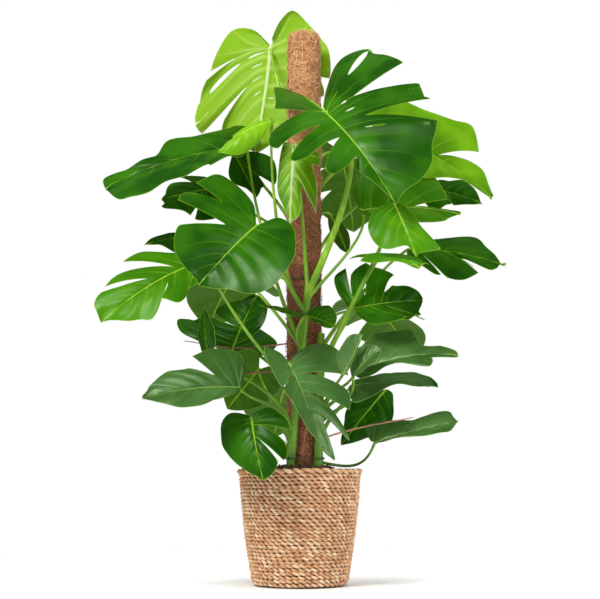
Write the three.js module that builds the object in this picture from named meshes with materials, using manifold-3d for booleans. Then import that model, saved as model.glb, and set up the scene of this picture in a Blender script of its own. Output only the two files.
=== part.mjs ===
// A swiss cheese plant (Monstera) climbing a coir pole, in a woven seagrass basket.
// Millimetres, +Z up, the viewer looks along +Y. The origin is the middle of the basket's underside.
// Three stems climb the pole. Each grows petioles, and each petiole carries one leaf blade at its knot.
import * as THREE from "three";
import { mergeVertices } from "three/addons/utils/BufferGeometryUtils.js";
import Module from "manifold-3d";

const wasm = await Module();
wasm.setup();

// Driving sizes
const GAP = 0.35;
const BASKET = {
  height: 276, base: 98, shoulder: 111, mouth: 145, wall: 8, floor: 7, rope: 6, rows: 12, sides: 26,
};
const POT = { foot: 96, mouth: 128, lip: 131, rim: 262, wall: 2, floor: 3, hole: 6, holeRing: 60 };
const SOIL = { edge: 252, crown: 284, clear: 0.4 };
const POLE = { x: 10, y: 0, radius: 41, low: 130, top: 1380, lump: 1.6, rings: 11, sides: 12 };
const CORE = { radius: 16, wall: 2.2, low: 10.7, top: 1371 };
const STEM = { sides: 7, step: 80, foot: 175, clear: 1.2 };
const PETIOLE = { sides: 5, steps: 5, base: 5.6, knot: 3, taper: 0.55 };
const BLADE = {
  thick: 1.3,
  rib: 2.4,
  grids: [
    { width: 290, rows: 9, columns: 4 },
    { width: 204, rows: 7, columns: 4 },
    { width: 0, rows: 6, columns: 3 },
  ],
};
const COLOURS = {
  leafDark: 0x2f6b14,
  leafLight: 0x86b81c,
  stemGreen: 0x8fb552,
  coir: 0x9a5a36,
  core: 0x6f7470,
  soil: 0x3c241a,
  pot: 0x4a3a30,
  seagrass: 0xc99a68,
  root: 0x7a4630,
  tie: 0x2c5a3c,
};

// The three stems. turn: where each stands round the pole, in degrees from the viewer's side. wind: how far it
// turns on the way up. top and radius: its height and thickness.
const STEMS = {
  left: { turn: -48, wind: 60, top: 725, radius: 11 },
  right: { turn: 34, wind: 14, top: 600, radius: 11.5 },
  back: { turn: 165, wind: 24, top: 990, radius: 10.5 },
};

// One entry per leaf.
// knot: where the petiole meets the blade. tip: the blade's point. width: across both halves when flat.
// face: where the upper side looks, as [degrees to the right of the viewer, degrees above level].
// stem and from: the stem that the petiole leaves, and at what height. petiole: its radius at the stem.
// via: how far the petiole's last stretch is pushed aside. swing: the two points that draw the petiole's
// curve, in place of the usual ones. light: the blade shows its pale green side.
// Degrees: bend is the droop along the midrib, roll the droop of each half, fold how far both halves rise
// from the midrib, twist the turn from knot to tip. heart lengthens the lobes behind the knot, full rounds
// the blade towards its tip, lean carries the edge of each half forward, and wave ripples the margin.
// edges: the outline of the plus and the minus half from behind the knot to the tip, in half widths and
// lengths, in place of the plain heart shape.
// plus and minus: the cuts of each half, as [place along the edge from 0 behind the knot to 1 at the tip,
// where the cut starts from 0 at the midrib to 1 at the edge, half its width, and where it closes again:
// below 1 it is a hole, above 1 a cut that narrows towards the edge].
const LEAVES = {
  leaf_top_left_light: {
    knot: [-79, 120, 1389], tip: [-119, 100, 1105], face: [165, 11], width: 360, stem: "back", from: 930,
    light: true,
    bend: 26, roll: [33, 33], fold: 7, via: [30, -30, -190],
    edges: [
      [
        [0.02, -0.07], [0.13, -0.24], [0.31, -0.35], [0.53, -0.25], [0.75, -0.12], [0.95, 0.02],
        [1.01, 0.26], [0.87, 0.28], [0.94, 0.44], [0.79, 0.62], [0.53, 0.77], [0.24, 0.89],
      ],
      [
        [0.02, -0.04], [0.29, -0.17], [0.6, -0.16], [0.8, 0.03], [0.93, 0.28], [0.98, 0.53], [0.99, 0.77],
        [0.81, 0.92], [0.6, 0.84], [0.48, 0.93], [0.31, 0.97], [0.13, 1],
      ],
    ],
    plus: [[0.545, 0.86, 0.025], [0.7, 0.44, 0.03]],
    minus: [[0.33, 0.59, 0.016], [0.4, 0.47, 0.016, 0.86], [0.61, 0.47, 0.03]],
  },
  leaf_left_long: {
    knot: [-134, 0, 1081], tip: [-473, -65, 959], face: [-9, 50], width: 313, stem: "left", from: 570,
    bend: 27, roll: [31, 15], fold: 18, twist: -4, wave: 0.02, swing: [[-58, -50, 681], [-120, -20, 938]],
    edges: [
      [
        [0.03, -0.02], [0.49, -0.12], [0.85, -0.04], [0.77, 0.04], [0.6, 0.22], [0.52, 0.33], [0.67, 0.48],
        [0.31, 0.6], [0.29, 0.7], [0.19, 0.79], [0.2, 0.84], [0.3, 0.99],
      ],
      [
        [0.17, 0.02], [0.79, 0.13], [0.94, 0.2], [0.81, 0.24], [1.01, 0.37], [0.97, 0.39], [1.29, 0.56],
        [1.26, 0.61], [1.19, 0.69], [1.36, 0.81], [1.32, 0.91], [1.11, 0.99],
      ],
    ],
    plus: [],
    minus: [],
  },
  leaf_centre_curled: {
    knot: [-67, -150, 1102], tip: [-193, -165, 1021], face: [-21, 31], width: 61, stem: "left", from: 652,
    light: true,
    bend: 39, roll: [52, 50], fold: 2, wave: 0.02, petiole: 5, swing: [[-53, -60, 704], [-78, -105, 1017]],
    edges: [
      [
        [0.23, -0.04], [1.02, -0.06], [1.81, 0.08], [2.12, 0.23], [2.33, 0.34], [2.38, 0.57], [0.19, 0.69],
        [0.11, 0.86],
      ],
      [
        [0.18, -0.04], [0.41, 0.02], [0.89, 0.16], [1.21, 0.3], [1.49, 0.44], [1.64, 0.62], [1.33, 0.81],
        [0.72, 0.94],
      ],
    ],
    plus: [],
    minus: [],
  },
  leaf_front_left: {
    knot: [-102, -235, 823], tip: [-223, -297, 677], face: [-2, 13], width: 301, stem: "left", from: 648,
    bend: 26, roll: [13, -2], fold: 18, twist: 15, wave: 0.02, petiole: 5.5,
    swing: [[-21, -110, 700], [-79, -190, 776]],
    edges: [
      [
        [0.02, -0.02], [0.33, -0.24], [0.76, -0.3], [1.03, -0.23], [1.07, 0.09], [1.11, 0.39], [0.96, 0.67],
        [0.86, 0.76], [0.65, 0.91], [0.45, 0.96], [0.27, 0.98], [0.1, 0.99],
      ],
      [
        [0.02, -0.05], [0.09, -0.16], [0.2, -0.25], [0.49, -0.2], [0.73, -0.03], [0.92, 0.18], [0.97, 0.38],
        [0.96, 0.55], [0.85, 0.7], [0.68, 0.8], [0.44, 0.86], [0.23, 0.95],
      ],
    ],
    plus: [[0.365, 0.55, 0.01], [0.49, 0.32, 0.045]],
    minus: [],
  },
  leaf_left_lower: {
    knot: [-224, -150, 760], tip: [-446, -239, 603], face: [-22, 30], width: 224, stem: "left", from: 458,
    bend: 32, roll: [23, 7], fold: 7, twist: 20, petiole: 4.9, swing: [[-90, -95, 539], [-184, -130, 661]],
    edges: [
      [
        [0.1, -0.03], [0.22, 0.02], [0.28, 0.08], [0.45, 0.11], [0.8, 0.26], [0.98, 0.37], [0.91, 0.54],
        [0.78, 0.68], [0.56, 0.82], [0.57, 0.87], [0.41, 0.96], [0.2, 0.99],
      ],
      [
        [0.07, -0.02], [0.22, 0.03], [0.56, 0.14], [0.74, 0.23], [0.72, 0.28], [0.74, 0.36], [0.85, 0.48],
        [0.58, 0.57], [0.77, 0.73], [0.57, 0.79], [0.42, 0.87], [0.22, 0.94],
      ],
    ],
    plus: [[0.54, 0.14, 0.022], [0.67, 0.27, 0.012, 1.06]],
    minus: [[0.435, 0.54, 0.02], [0.61, 0.37, 0.03, 1.06]],
  },
  leaf_upper_right: {
    knot: [60, -190, 1110], tip: [212, -308, 861], face: [3, 26], width: 438, stem: "left", from: 690,
    bend: 32, roll: [46, 8], fold: 16, twist: -5, petiole: 9.5, swing: [[80, -80, 833], [198, -138, 1070]],
    edges: [
      [
        [0, -0.02], [0.01, -0.31], [0.08, -0.72], [0.42, -0.25], [0.69, -0.03], [0.82, 0.17], [0.75, 0.34],
        [0.56, 0.46], [0.43, 0.62], [0.21, 0.65], [0.14, 0.73], [0.08, 0.83],
      ],
      [
        [0.03, -0.07], [0.29, -0.31], [0.76, -0.64], [1.03, -0.51], [1.05, -0.09], [0.98, 0.23],
        [0.89, 0.54], [0.78, 0.67], [0.65, 0.76], [0.55, 0.87], [0.34, 0.95], [0.14, 0.97],
      ],
    ],
    plus: [[0.285, 0.36, 0.014], [0.475, 0.26, 0.016], [0.6, 0.22, 0.028], [0.745, 0.24, 0.014]],
    minus: [[0.255, 0.5, 0.013, 0.94], [0.375, 0.33, 0.016], [0.5, 0.31, 0.02], [0.58, 0.23, 0.01, 0.47]],
  },
  leaf_right_hanging: {
    knot: [218, -235, 875], tip: [261, -274, 746], face: [-8, 28], width: 176, stem: "right", from: 505,
    bend: 24, roll: [25, 24], fold: 5, twist: 5, petiole: 7.5, swing: [[86, -178, 594], [214, -5, 814]],
    edges: [
      [
        [0.03, -0.03], [0.27, -0.05], [0.61, 0.01], [0.83, 0.17], [0.92, 0.34], [0.91, 0.52], [0.79, 0.68],
        [0.58, 0.77], [0.3, 0.79], [0.13, 0.81], [0.07, 0.86], [0.05, 0.94],
      ],
      [
        [0.06, 0], [0.19, 0.1], [0.3, 0.24], [0.37, 0.37], [0.41, 0.54], [0.49, 0.7], [0.54, 0.76],
        [0.66, 0.92], [0.69, 1], [0.37, 1], [0.24, 0.99], [0.1, 0.98],
      ],
    ],
    plus: [],
    minus: [],
  },
  leaf_right_fingers: {
    knot: [152, -95, 895], tip: [386, -85, 887], face: [10, 33], width: 199, stem: "left", from: 676,
    bend: 30, roll: [26, 21], fold: 10, twist: -2, petiole: 4.4, swing: [[58, -72, 739], [175, -80, 826]],
    edges: [
      [
        [0.04, -0.02], [0.26, 0.05], [0.61, 0.21], [0.67, 0.32], [0.54, 0.49], [0.56, 0.6], [0.48, 0.83],
        [0.2, 0.91],
      ],
      [
        [0.06, -0.04], [0.46, -0.07], [0.89, -0.1], [1.28, -0.02], [1.5, 0.07], [1.59, 0.27], [1.57, 0.52],
        [1.26, 0.74], [0.48, 0.87], [0.11, 0.89], [0.07, 0.93], [0.03, 1],
      ],
    ],
    plus: [[0.79, 0.08, 0.02]],
    minus: [[0.715, 0.09, 0.022]],
  },
  leaf_right_back_light: {
    knot: [220, 60, 1132], tip: [481, 17, 955], face: [1, 32], width: 332, stem: "back", from: 860,
    light: true,
    bend: 36, roll: [27, 8], fold: 12, twist: 26,
    edges: [
      [
        [0.11, -0.02], [0.27, 0.03], [0.67, 0.16], [0.88, 0.34], [0.75, 0.5], [0.52, 0.61], [0.42, 0.69],
        [0.12, 0.8],
      ],
      [
        [0.04, -0.09], [0.16, -0.17], [0.35, -0.31], [0.48, -0.15], [0.78, -0.15], [0.76, 0.14],
        [0.83, 0.38], [1, 0.54], [0.6, 0.72], [0.49, 0.7], [0.39, 0.82], [0.17, 0.92],
      ],
    ],
    plus: [],
    minus: [[0.69, 0.08, 0.03]],
  },
  leaf_right_back_dark: {
    knot: [327, 110, 1001], tip: [470, 97, 958], face: [14, 36], width: 150, stem: "back", from: 746,
    bend: 30, roll: [25, 21], fold: 8, twist: -2, swing: [[65, 115, 879], [152, 115, 1026]],
    edges: [
      [
        [0.21, 0], [0.7, 0.05], [1.03, 0.23], [0.99, 0.37], [0.79, 0.45], [0.61, 0.59], [0.43, 0.76],
        [0.23, 0.9],
      ],
      [
        [0.18, 0], [0.4, 0.12], [0.61, 0.25], [0.67, 0.4], [0.8, 0.52], [0.96, 0.63], [0.71, 0.75],
        [0.38, 0.88],
      ],
    ],
    plus: [[0.6, 0.58, 0.02]],
    minus: [],
  },
  leaf_right_low_wide: {
    knot: [269, -40, 810], tip: [492, -87, 759], face: [6, 52], width: 239, stem: "right", from: 558,
    bend: 24, roll: [35, 30], fold: 4, twist: -14, swing: [[92, -45, 632], [210, -30, 779]],
    edges: [
      [
        [0.21, 0], [0.44, 0.03], [0.64, 0.1], [0.59, 0.14], [0.88, 0.37], [0.81, 0.52], [0.69, 0.69],
        [0.37, 0.83], [0.16, 0.58], [0.29, 1.18], [0.12, 0.93], [0.06, 0.91],
      ],
      [
        [0.15, 0.02], [0.29, 0.09], [0.65, 0.28], [0.79, 0.45], [0.82, 0.64], [0.51, 0.76], [0.25, 0.85],
        [0.09, 0.94],
      ],
    ],
    plus: [[0.395, 0.36, 0.03], [0.575, 0.33, 0.03]],
    minus: [],
  },
  leaf_right_under: {
    knot: [192, -150, 774], tip: [266, -285, 716], face: [15, 75], width: 180, stem: "right", from: 492,
    bend: 30, roll: [26, 26], fold: 2, petiole: 4.6, swing: [[86, -95, 596], [162, -125, 729]],
    plus: [[0.45, 0.5, 0.04]],
    minus: [[0.45, 0.5, 0.04]],
  },
  leaf_right_slit: {
    knot: [133, -92, 654], tip: [294, -65, 676], face: [-3, 38], width: 232, stem: "right", from: 470,
    bend: 19, roll: [2, 10], fold: 19, twist: 2, petiole: 4.6, swing: [[60, -60, 552], [108, -70, 616]],
    edges: [
      [
        [0.11, -0.01], [0.33, -0.01], [0.62, 0.05], [0.88, 0.14], [1.03, 0.29], [1.03, 0.47], [0.92, 0.61],
        [0.81, 0.69], [0.79, 0.79], [0.69, 0.79], [0.47, 0.85], [0.21, 0.95],
      ],
      [
        [0.02, -0.05], [0.17, -0.11], [0.42, -0.18], [0.83, -0.16], [0.99, 0.03], [1, 0.2], [0.96, 0.42],
        [0.69, 0.65], [0.52, 0.68], [0.42, 0.81], [0.3, 0.9], [0.17, 0.99],
      ],
    ],
    plus: [[0.49, 0.08, 0.03, 1.06], [0.63, 0.2, 0.016, 0.64]],
    minus: [[0.355, 0.33, 0.02], [0.48, 0.24, 0.016, 0.58], [0.63, 0.43, 0.03, 1.06]],
  },
  leaf_low_right_wavy: {
    knot: [129, -140, 496], tip: [361, -178, 531], face: [0, 50], width: 262, stem: "right", from: 400,
    bend: 38, roll: [18, 13], fold: 13, twist: 9, wave: 0.03,
    edges: [
      [
        [0.05, -0.01], [0.38, 0.06], [0.47, 0.13], [0.39, 0.21], [0.25, 0.3], [0.3, 0.42], [0.35, 0.5],
        [0.43, 0.59], [0.57, 0.72], [0.41, 0.76], [0.27, 0.76], [0.12, 0.94],
      ],
      [
        [0.06, -0.02], [0.27, 0], [0.44, 0.05], [0.59, 0.12], [0.87, 0.23], [0.87, 0.33], [0.8, 0.46],
        [0.69, 0.6], [0.29, 0.68], [0.29, 0.86], [0.22, 0.86], [0.09, 0.99],
      ],
    ],
    plus: [],
    minus: [],
  },
  leaf_low_right_upright: {
    knot: [99, -215, 486], tip: [141, -223, 572], face: [15, 22], width: 70, stem: "right", from: 370,
    bend: 33, roll: [20, 30], fold: 16,
    edges: [
      [
        [0.08, 0.01], [0.19, 0.07], [0.17, 0.28], [0.15, 0.45], [0.12, 0.63], [0.09, 0.79], [0.07, 0.88],
        [0.04, 0.96],
      ],
      [
        [0.08, 0.01], [0.51, 0.11], [0.94, 0.32], [0.93, 0.45], [0.89, 0.63], [0.8, 0.81], [0.56, 0.92],
        [0.27, 0.98],
      ],
    ],
    plus: [],
    minus: [],
  },
  leaf_low_right_mid: {
    knot: [122, -75, 470], tip: [319, -125, 461], face: [-5, 58], width: 171, stem: "right", from: 385,
    bend: 24, roll: [20, 24], fold: 6,
    edges: [
      [
        [0.25, 0], [0.58, 0.03], [1.03, 0.13], [0.83, 0.28], [0.35, 0.43], [0.13, 0.59], [0.1, 0.73],
        [0.07, 0.88],
      ],
      [
        [0.12, 0], [0.33, 0.06], [0.44, 0.15], [0.51, 0.31], [0.75, 0.48], [0.85, 0.64], [0.56, 0.79],
        [0.49, 0.91],
      ],
    ],
    plus: [],
    minus: [[0.33, 0.78, 0.02]],
  },
  leaf_front_centre: {
    knot: [-23, -210, 504], tip: [40, -280, 319], face: [40, 36], width: 278, stem: "left", from: 425,
    bend: 22, roll: [15, 7], fold: 22, twist: 13, swing: [[-21, -100, 434], [-37, -165, 470]],
    edges: [
      [
        [0.02, 0.06], [0.01, -0.2], [0.4, -0.23], [0.76, 0.07], [0.86, 0.29], [0.84, 0.46], [0.66, 0.5],
        [0.6, 0.59], [0.52, 0.7], [0.36, 0.8], [0.3, 0.9], [0.17, 0.98],
      ],
      [
        [0.02, -0.05], [0.22, -0.14], [0.56, -0.22], [0.83, -0.18], [0.95, 0.01], [0.87, 0.27],
        [0.92, 0.42], [0.67, 0.69], [0.56, 0.67], [0.65, 0.97], [0.23, 0.67], [0.26, 1.15],
      ],
    ],
    plus: [[0.47, 0.08, 0.03]],
    minus: [[0.445, 0.13, 0.025], [0.6, 0.15, 0.035]],
  },
  leaf_front_low: {
    knot: [-110, -190, 382], tip: [-82, -239, 248], face: [-16, 24], width: 172, stem: "left", from: 320,
    bend: 33, roll: [37, 28], fold: 4, twist: -3,
    edges: [
      [
        [0.02, -0.06], [0.25, -0.2], [0.62, -0.31], [0.91, -0.2], [0.99, 0.04], [0.99, 0.22], [0.82, 0.46],
        [0.62, 0.65], [0.44, 0.77], [0.3, 0.86], [0.17, 0.92], [0.06, 0.97],
      ],
      [
        [0.02, -0.04], [0.19, -0.16], [0.51, -0.2], [0.78, -0.01], [0.98, 0.2], [0.99, 0.42], [0.77, 0.76],
        [0.61, 0.9], [0.45, 0.89], [0.27, 1.05], [0.18, 0.98], [0.08, 0.98],
      ],
    ],
    plus: [],
    minus: [[0.43, 0.2, 0.03], [0.575, 0.23, 0.026]],
  },
  leaf_left_low: {
    knot: [-139, -200, 455], tip: [-351, -226, 429], face: [-11, 42], width: 212, stem: "left", from: 350,
    bend: 26, roll: [14, 19], fold: 19, twist: 2,
    edges: [
      [
        [0.06, -0.03], [0.43, -0.08], [0.86, -0.06], [1.06, 0.08], [1.01, 0.26], [0.71, 0.5], [0.61, 0.58],
        [0.6, 0.74], [0.48, 0.8], [0.29, 0.88], [0.19, 0.93], [0.12, 0.96],
      ],
      [
        [0.02, -0.02], [0.31, 0.06], [0.55, 0.22], [0.54, 0.3], [0.76, 0.45], [0.73, 0.61], [0.49, 0.76],
        [0.34, 0.88],
      ],
    ],
    plus: [[0.435, 0.4, 0.035]],
    minus: [],
  },
  leaf_left_mid_dark: {
    knot: [-171, 62, 570], tip: [-111, 78, 709], face: [-18, 6], width: 299, stem: "left", from: 440,
    bend: 25, roll: [17, 18], fold: 16, twist: 18, swing: [[-56, -22, 522], [-113, 135, 590]],
    edges: [
      [
        [0.02, -0.01], [0.18, -0.04], [0.39, -0.04], [0.72, 0.17], [0.82, 0.34], [0.5, 0.44], [0.41, 0.44],
        [0.44, 0.58], [0.41, 0.76], [0.38, 0.85], [0.31, 0.89], [0.14, 0.97],
      ],
      [
        [0.02, -0.04], [0.17, -0.04], [0.32, -0.04], [0.63, -0.03], [0.99, 0.02], [1.16, 0.19],
        [0.88, 0.27], [0.71, 0.37], [0.67, 0.49], [0.64, 0.65], [0.4, 0.78], [0.18, 0.85],
      ],
    ],
    plus: [[0.21, 0.39, 0.01, 0.61], [0.44, 0.6, 0.02]],
    minus: [[0.48, 0.4, 0.014, 0.48], [0.65, 0.17, 0.04]],
  },
  leaf_left_small: {
    knot: [-217, -110, 535], tip: [-228, -103, 650], face: [-47, 15], width: 81, stem: "left", from: 350,
    bend: 13, roll: [23, 20], fold: 27, twist: -2,
    edges: [
      [
        [0.2, -0.01], [0.61, 0.02], [1.1, 0.19], [1.2, 0.33], [1.14, 0.47], [1.01, 0.61], [0.78, 0.77],
        [0.41, 0.91],
      ],
      [
        [0.08, -0.04], [0.13, 0.02], [0.38, 0.17], [0.45, 0.3], [0.5, 0.44], [0.48, 0.58], [0.31, 0.73],
        [0.13, 0.89],
      ],
    ],
    plus: [],
    minus: [],
  },
  leaf_left_low_light: {
    knot: [-102, -16, 513], tip: [-173, -44, 418], face: [172, 19], width: 140, stem: "left", from: 335,
    bend: 24, roll: [24, 24], fold: 4, petiole: 4.2, swing: [[-47, -75, 400], [-91, -65, 472]],
    plus: [],
    minus: [],
  },
  leaf_low_right_long: {
    knot: [176, -90, 335], tip: [366, -120, 381], face: [-6, 60], width: 170, stem: "right", from: 291,
    bend: 10, roll: [5, 27], fold: 19, twist: -1, wave: 0.03, petiole: 3.6,
    swing: [[118, 45, 277], [158, 0, 270]],
    edges: [
      [
        [0.07, -0.01], [0.19, 0.07], [0.35, 0.2], [0.61, 0.42], [0.8, 0.56], [1.05, 0.72], [1.03, 0.85],
        [0.71, 0.93],
      ],
      [
        [0.09, -0.04], [0.33, -0.07], [0.85, -0.09], [1.1, 0.05], [0.87, 0.18], [0.63, 0.32], [0.44, 0.48],
        [0.54, 0.6], [0.58, 0.72], [0.53, 0.86], [0.43, 0.95], [0.28, 0.97],
      ],
    ],
    plus: [],
    minus: [],
  },
  leaf_low_right_back: {
    knot: [210, 40, 466], tip: [102, 21, 334], face: [-2, 12], width: 191, stem: "back", from: 330,
    bend: 24, roll: [24, 24], fold: 4, twist: -1,
    edges: [
      [
        [0.04, 0], [0.25, 0.15], [0.45, 0.32], [0.48, 0.49], [0.43, 0.61], [0.31, 0.72], [0.18, 0.86],
        [0.09, 0.95],
      ],
      [
        [0.02, -0.04], [0.2, -0.05], [0.38, 0.07], [0.6, 0.23], [0.66, 0.4], [0.58, 0.55], [0.4, 0.72],
        [0.21, 0.88],
      ],
    ],
    plus: [],
    minus: [],
  },
  leaf_low_right_fold: {
    knot: [120, -200, 479], tip: [181, -223, 539], face: [-2, 46], width: 87, stem: "right", from: 330,
    bend: 32, roll: [23, 24], fold: 15, twist: 1,
    edges: [
      [
        [0.17, 0.04], [0.21, 0.1], [0.44, 0.31], [0.48, 0.45], [0.58, 0.61], [0.65, 0.75], [0.58, 0.86],
        [0.33, 0.95],
      ],
      [
        [0.14, 0], [0.46, 0.11], [0.95, 0.31], [1.09, 0.46], [1.02, 0.63], [0.83, 0.8], [0.55, 0.92],
        [0.26, 0.99],
      ],
    ],
    plus: [],
    minus: [],
  },
  leaf_pole_right_small: {
    knot: [14, -150, 627], tip: [78, -168, 600], face: [6, 44], width: 112, stem: "left", from: 560,
    bend: 29, roll: [43, 42], fold: 22, twist: -1, petiole: 4.2, swing: [[-12, -85, 578], [-14, -125, 606]],
    edges: [
      [
        [0.19, 0.08], [0.2, 0.19], [0.38, 0.44], [0.43, 0.55], [0.38, 0.65], [0.45, 0.76], [0.44, 0.89],
        [0.26, 0.98],
      ],
      [
        [0.13, -0.03], [0.3, 0.03], [0.66, 0.15], [0.91, 0.28], [1.04, 0.43], [0.9, 0.65], [0.6, 0.87],
        [0.26, 0.98],
      ],
    ],
    plus: [],
    minus: [],
  },
  leaf_centre_new: {
    knot: [-15, -96, 1055], tip: [-24, -125, 854], face: [-11, 1], width: 122, stem: "left", from: 700,
    light: true,
    bend: 17, roll: [24, 23], fold: 4, twist: -1, petiole: 5.5, swing: [[12, -78, 769], [7, -90, 921]],
    edges: [
      [
        [0.06, -0.02], [0.4, -0.06], [0.52, 0.11], [0.57, 0.31], [0.57, 0.48], [0.53, 0.63], [0.29, 0.79],
        [0.1, 0.92],
      ],
      [
        [0.05, -0.04], [0.3, -0.05], [0.67, -0.06], [0.95, 0.08], [1.13, 0.17], [1.11, 0.38], [1.03, 0.73],
        [1, 0.9], [0.45, 0.55], [0.41, 0.84], [0.29, 0.93], [0.13, 0.97],
      ],
    ],
    plus: [],
    minus: [[0.42, 0.69, 0.035], [0.585, 0.53, 0.03]],
  },
  leaf_right_olive: {
    knot: [80, 75, 922], tip: [120, 69, 823], face: [163, 19], width: 66, stem: "back", from: 745,
    bend: 24, roll: [30, 30], fold: 4, twist: -1,
    edges: [
      [
        [0.17, -0.02], [0.2, 0.03], [0.44, 0.16], [0.62, 0.41], [0.71, 0.53], [0.71, 0.63], [0.6, 0.77],
        [0.34, 0.91],
      ],
      [
        [0.15, -0.04], [0.29, 0], [0.59, 0.23], [0.71, 0.46], [0.67, 0.6], [0.57, 0.72], [0.43, 0.84],
        [0.22, 0.94],
      ],
    ],
    plus: [],
    minus: [],
  },
  leaf_left_mid_tip: {
    knot: [-236, 30, 858], tip: [-387, 3, 829], face: [-5, 38], width: 103, stem: "left", from: 560,
    bend: 23, roll: [25, 26], fold: 2, twist: -1, petiole: 4.6, swing: [[-68, -40, 677], [-179, -5, 784]],
    edges: [
      [
        [0.17, -0.03], [0.29, 0.01], [0.54, 0.2], [0.5, 0.38], [0.47, 0.53], [0.48, 0.65], [0.5, 0.76],
        [0.31, 0.89],
      ],
      [
        [0.21, -0.01], [0.46, 0.03], [0.94, 0.19], [1.19, 0.34], [1.12, 0.48], [0.8, 0.63], [0.28, 0.78],
        [0.11, 0.91],
      ],
    ],
    plus: [],
    minus: [],
  },
  leaf_left_behind: {
    knot: [-217, 60, 988], tip: [-347, 22, 948], face: [-10, 31], width: 179, stem: "back", from: 770,
    bend: 27, roll: [31, 30], fold: 3, twist: 3,
    edges: [
      [
        [0.12, -0.04], [0.32, -0.02], [0.66, 0.04], [0.8, 0.19], [0.8, 0.67], [0.56, 0.83], [0.2, 0.92],
        [0.03, 1],
      ],
      [
        [0.09, -0.02], [0.37, -0.05], [0.79, -0.02], [1.09, 0.15], [1.04, 0.6], [0.63, 0.76], [0.3, 1.07],
        [0.07, 1.01],
      ],
    ],
    plus: [[0.5, 0.47, 0.03]],
    minus: [[0.54, 0.59, 0.03], [0.8, 0.34, 0.02]],
  },
  leaf_left_inner: {
    knot: [9, -110, 631], tip: [-94, -131, 654], face: [-9, 64], width: 58, stem: "left", from: 580,
    bend: 21, roll: [28, 30], fold: 5, twist: -3, petiole: 4.2, swing: [[-2, -80, 591], [-7, -100, 610]],
    edges: [
      [
        [0.21, 0.01], [0.44, 0.07], [0.85, 0.28], [1, 0.43], [0.96, 0.55], [0.8, 0.64], [0.54, 0.76],
        [0.25, 0.9],
      ],
      [
        [0.46, 0.02], [0.52, 0.08], [0.79, 0.28], [0.85, 0.39], [0.78, 0.49], [0.74, 0.58], [0.6, 0.73],
        [0.33, 0.88],
      ],
    ],
    plus: [],
    minus: [],
  },
  leaf_centre_dark: {
    knot: [-171, 55, 1082], tip: [-111, 35, 961], face: [0, 8], width: 153, stem: "back", from: 800,
    bend: 20, roll: [24, 22], fold: 4, twist: -2,
    edges: [
      [
        [0.06, 0.01], [0.23, 0.14], [0.5, 0.38], [0.49, 0.56], [0.28, 0.72], [0.17, 0.8], [0.1, 0.89],
        [0.05, 0.97],
      ],
      [
        [0.08, -0.01], [0.47, 0.09], [0.93, 0.27], [1.11, 0.53], [0.8, 0.93], [0.32, 0.91], [0.19, 0.95],
        [0.08, 0.99],
      ],
    ],
    plus: [],
    minus: [[0.55, 0.63, 0.03]],
  },
  leaf_back_high: {
    knot: [112, 250, 1142], tip: [152, 400, 954], face: [170, 43], width: 320, stem: "back", from: 960,
    bend: 46, roll: [36, 36], fold: 6,
    plus: [[0.36, 0.36, 0.05], [0.55, 0.34, 0.06]],
    minus: [[0.34, 0.4, 0.05], [0.52, 0.34, 0.05], [0.7, 0.4, 0.04]],
  },
  leaf_back_left: {
    knot: [-151, 210, 812], tip: [-251, 340, 667], face: [210, 43], width: 290, stem: "back", from: 665,
    bend: 46, roll: [36, 36], fold: 6,
    plus: [[0.4, 0.36, 0.05], [0.58, 0.34, 0.05]],
    minus: [[0.42, 0.4, 0.05]],
  },
  leaf_back_right: {
    knot: [191, 200, 710], tip: [301, 320, 575], face: [140, 44], width: 270, stem: "back", from: 560,
    bend: 44, roll: [36, 36], fold: 6,
    plus: [[0.4, 0.36, 0.05], [0.6, 0.34, 0.05]],
    minus: [[0.38, 0.4, 0.05], [0.56, 0.36, 0.05]],
  },
  leaf_back_low: {
    knot: [-40, 210, 489], tip: [-70, 330, 364], face: [190, 45], width: 220, stem: "back", from: 390,
    bend: 44, roll: [36, 36], fold: 6,
    plus: [[0.42, 0.4, 0.05]],
    minus: [],
  },
};

// Aerial roots: the stem each leaves and at what height, and the points it then passes.
const ROOTS = {
  aerial_root_left: { stem: "left", from: 505, path: [[-80, -95, 501], [-151, -140, 489]], radius: 3.2 },
  aerial_root_right: { stem: "right", from: 345, path: [[140, -60, 370], [262, -150, 390]], radius: 2.4 },
  aerial_root_far_left: { stem: "left", from: 578, path: [[-151, 25, 572], [-289, 10, 589]], radius: 2.2 },
  aerial_root_soil: { stem: "right", from: 428, path: [[14, -96, 364], [6, -88, 287]], radius: 2.4 },
};

const TIES = { tie_low: 299, tie_middle: 548, tie_high: 642, tie_top: 735 };
const TIE = { radius: 1.3, sides: 4, steps: 16, slack: 1.4 };

// Right-handed frame of a leaf: Y runs from knot to tip, Z is the upper side, X is the plus half.
function leafFrame(leaf) {
  const [turn, rise] = leaf.face.map(THREE.MathUtils.degToRad);
  const look = new THREE.Vector3(
    Math.sin(turn) * Math.cos(rise),
    -Math.cos(turn) * Math.cos(rise),
    Math.sin(rise),
  );
  const knot = new THREE.Vector3(...leaf.knot);
  const along = new THREE.Vector3(...leaf.tip).sub(knot);
  const chord = along.length();
  along.normalize();
  const up = look.addScaledVector(along, -look.dot(along)).normalize();
  const across = new THREE.Vector3().crossVectors(along, up);
  const matrix = new THREE.Matrix4().makeBasis(across, along, up).setPosition(knot);
  return { matrix, chord, across, up, along, knot };
}

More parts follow.
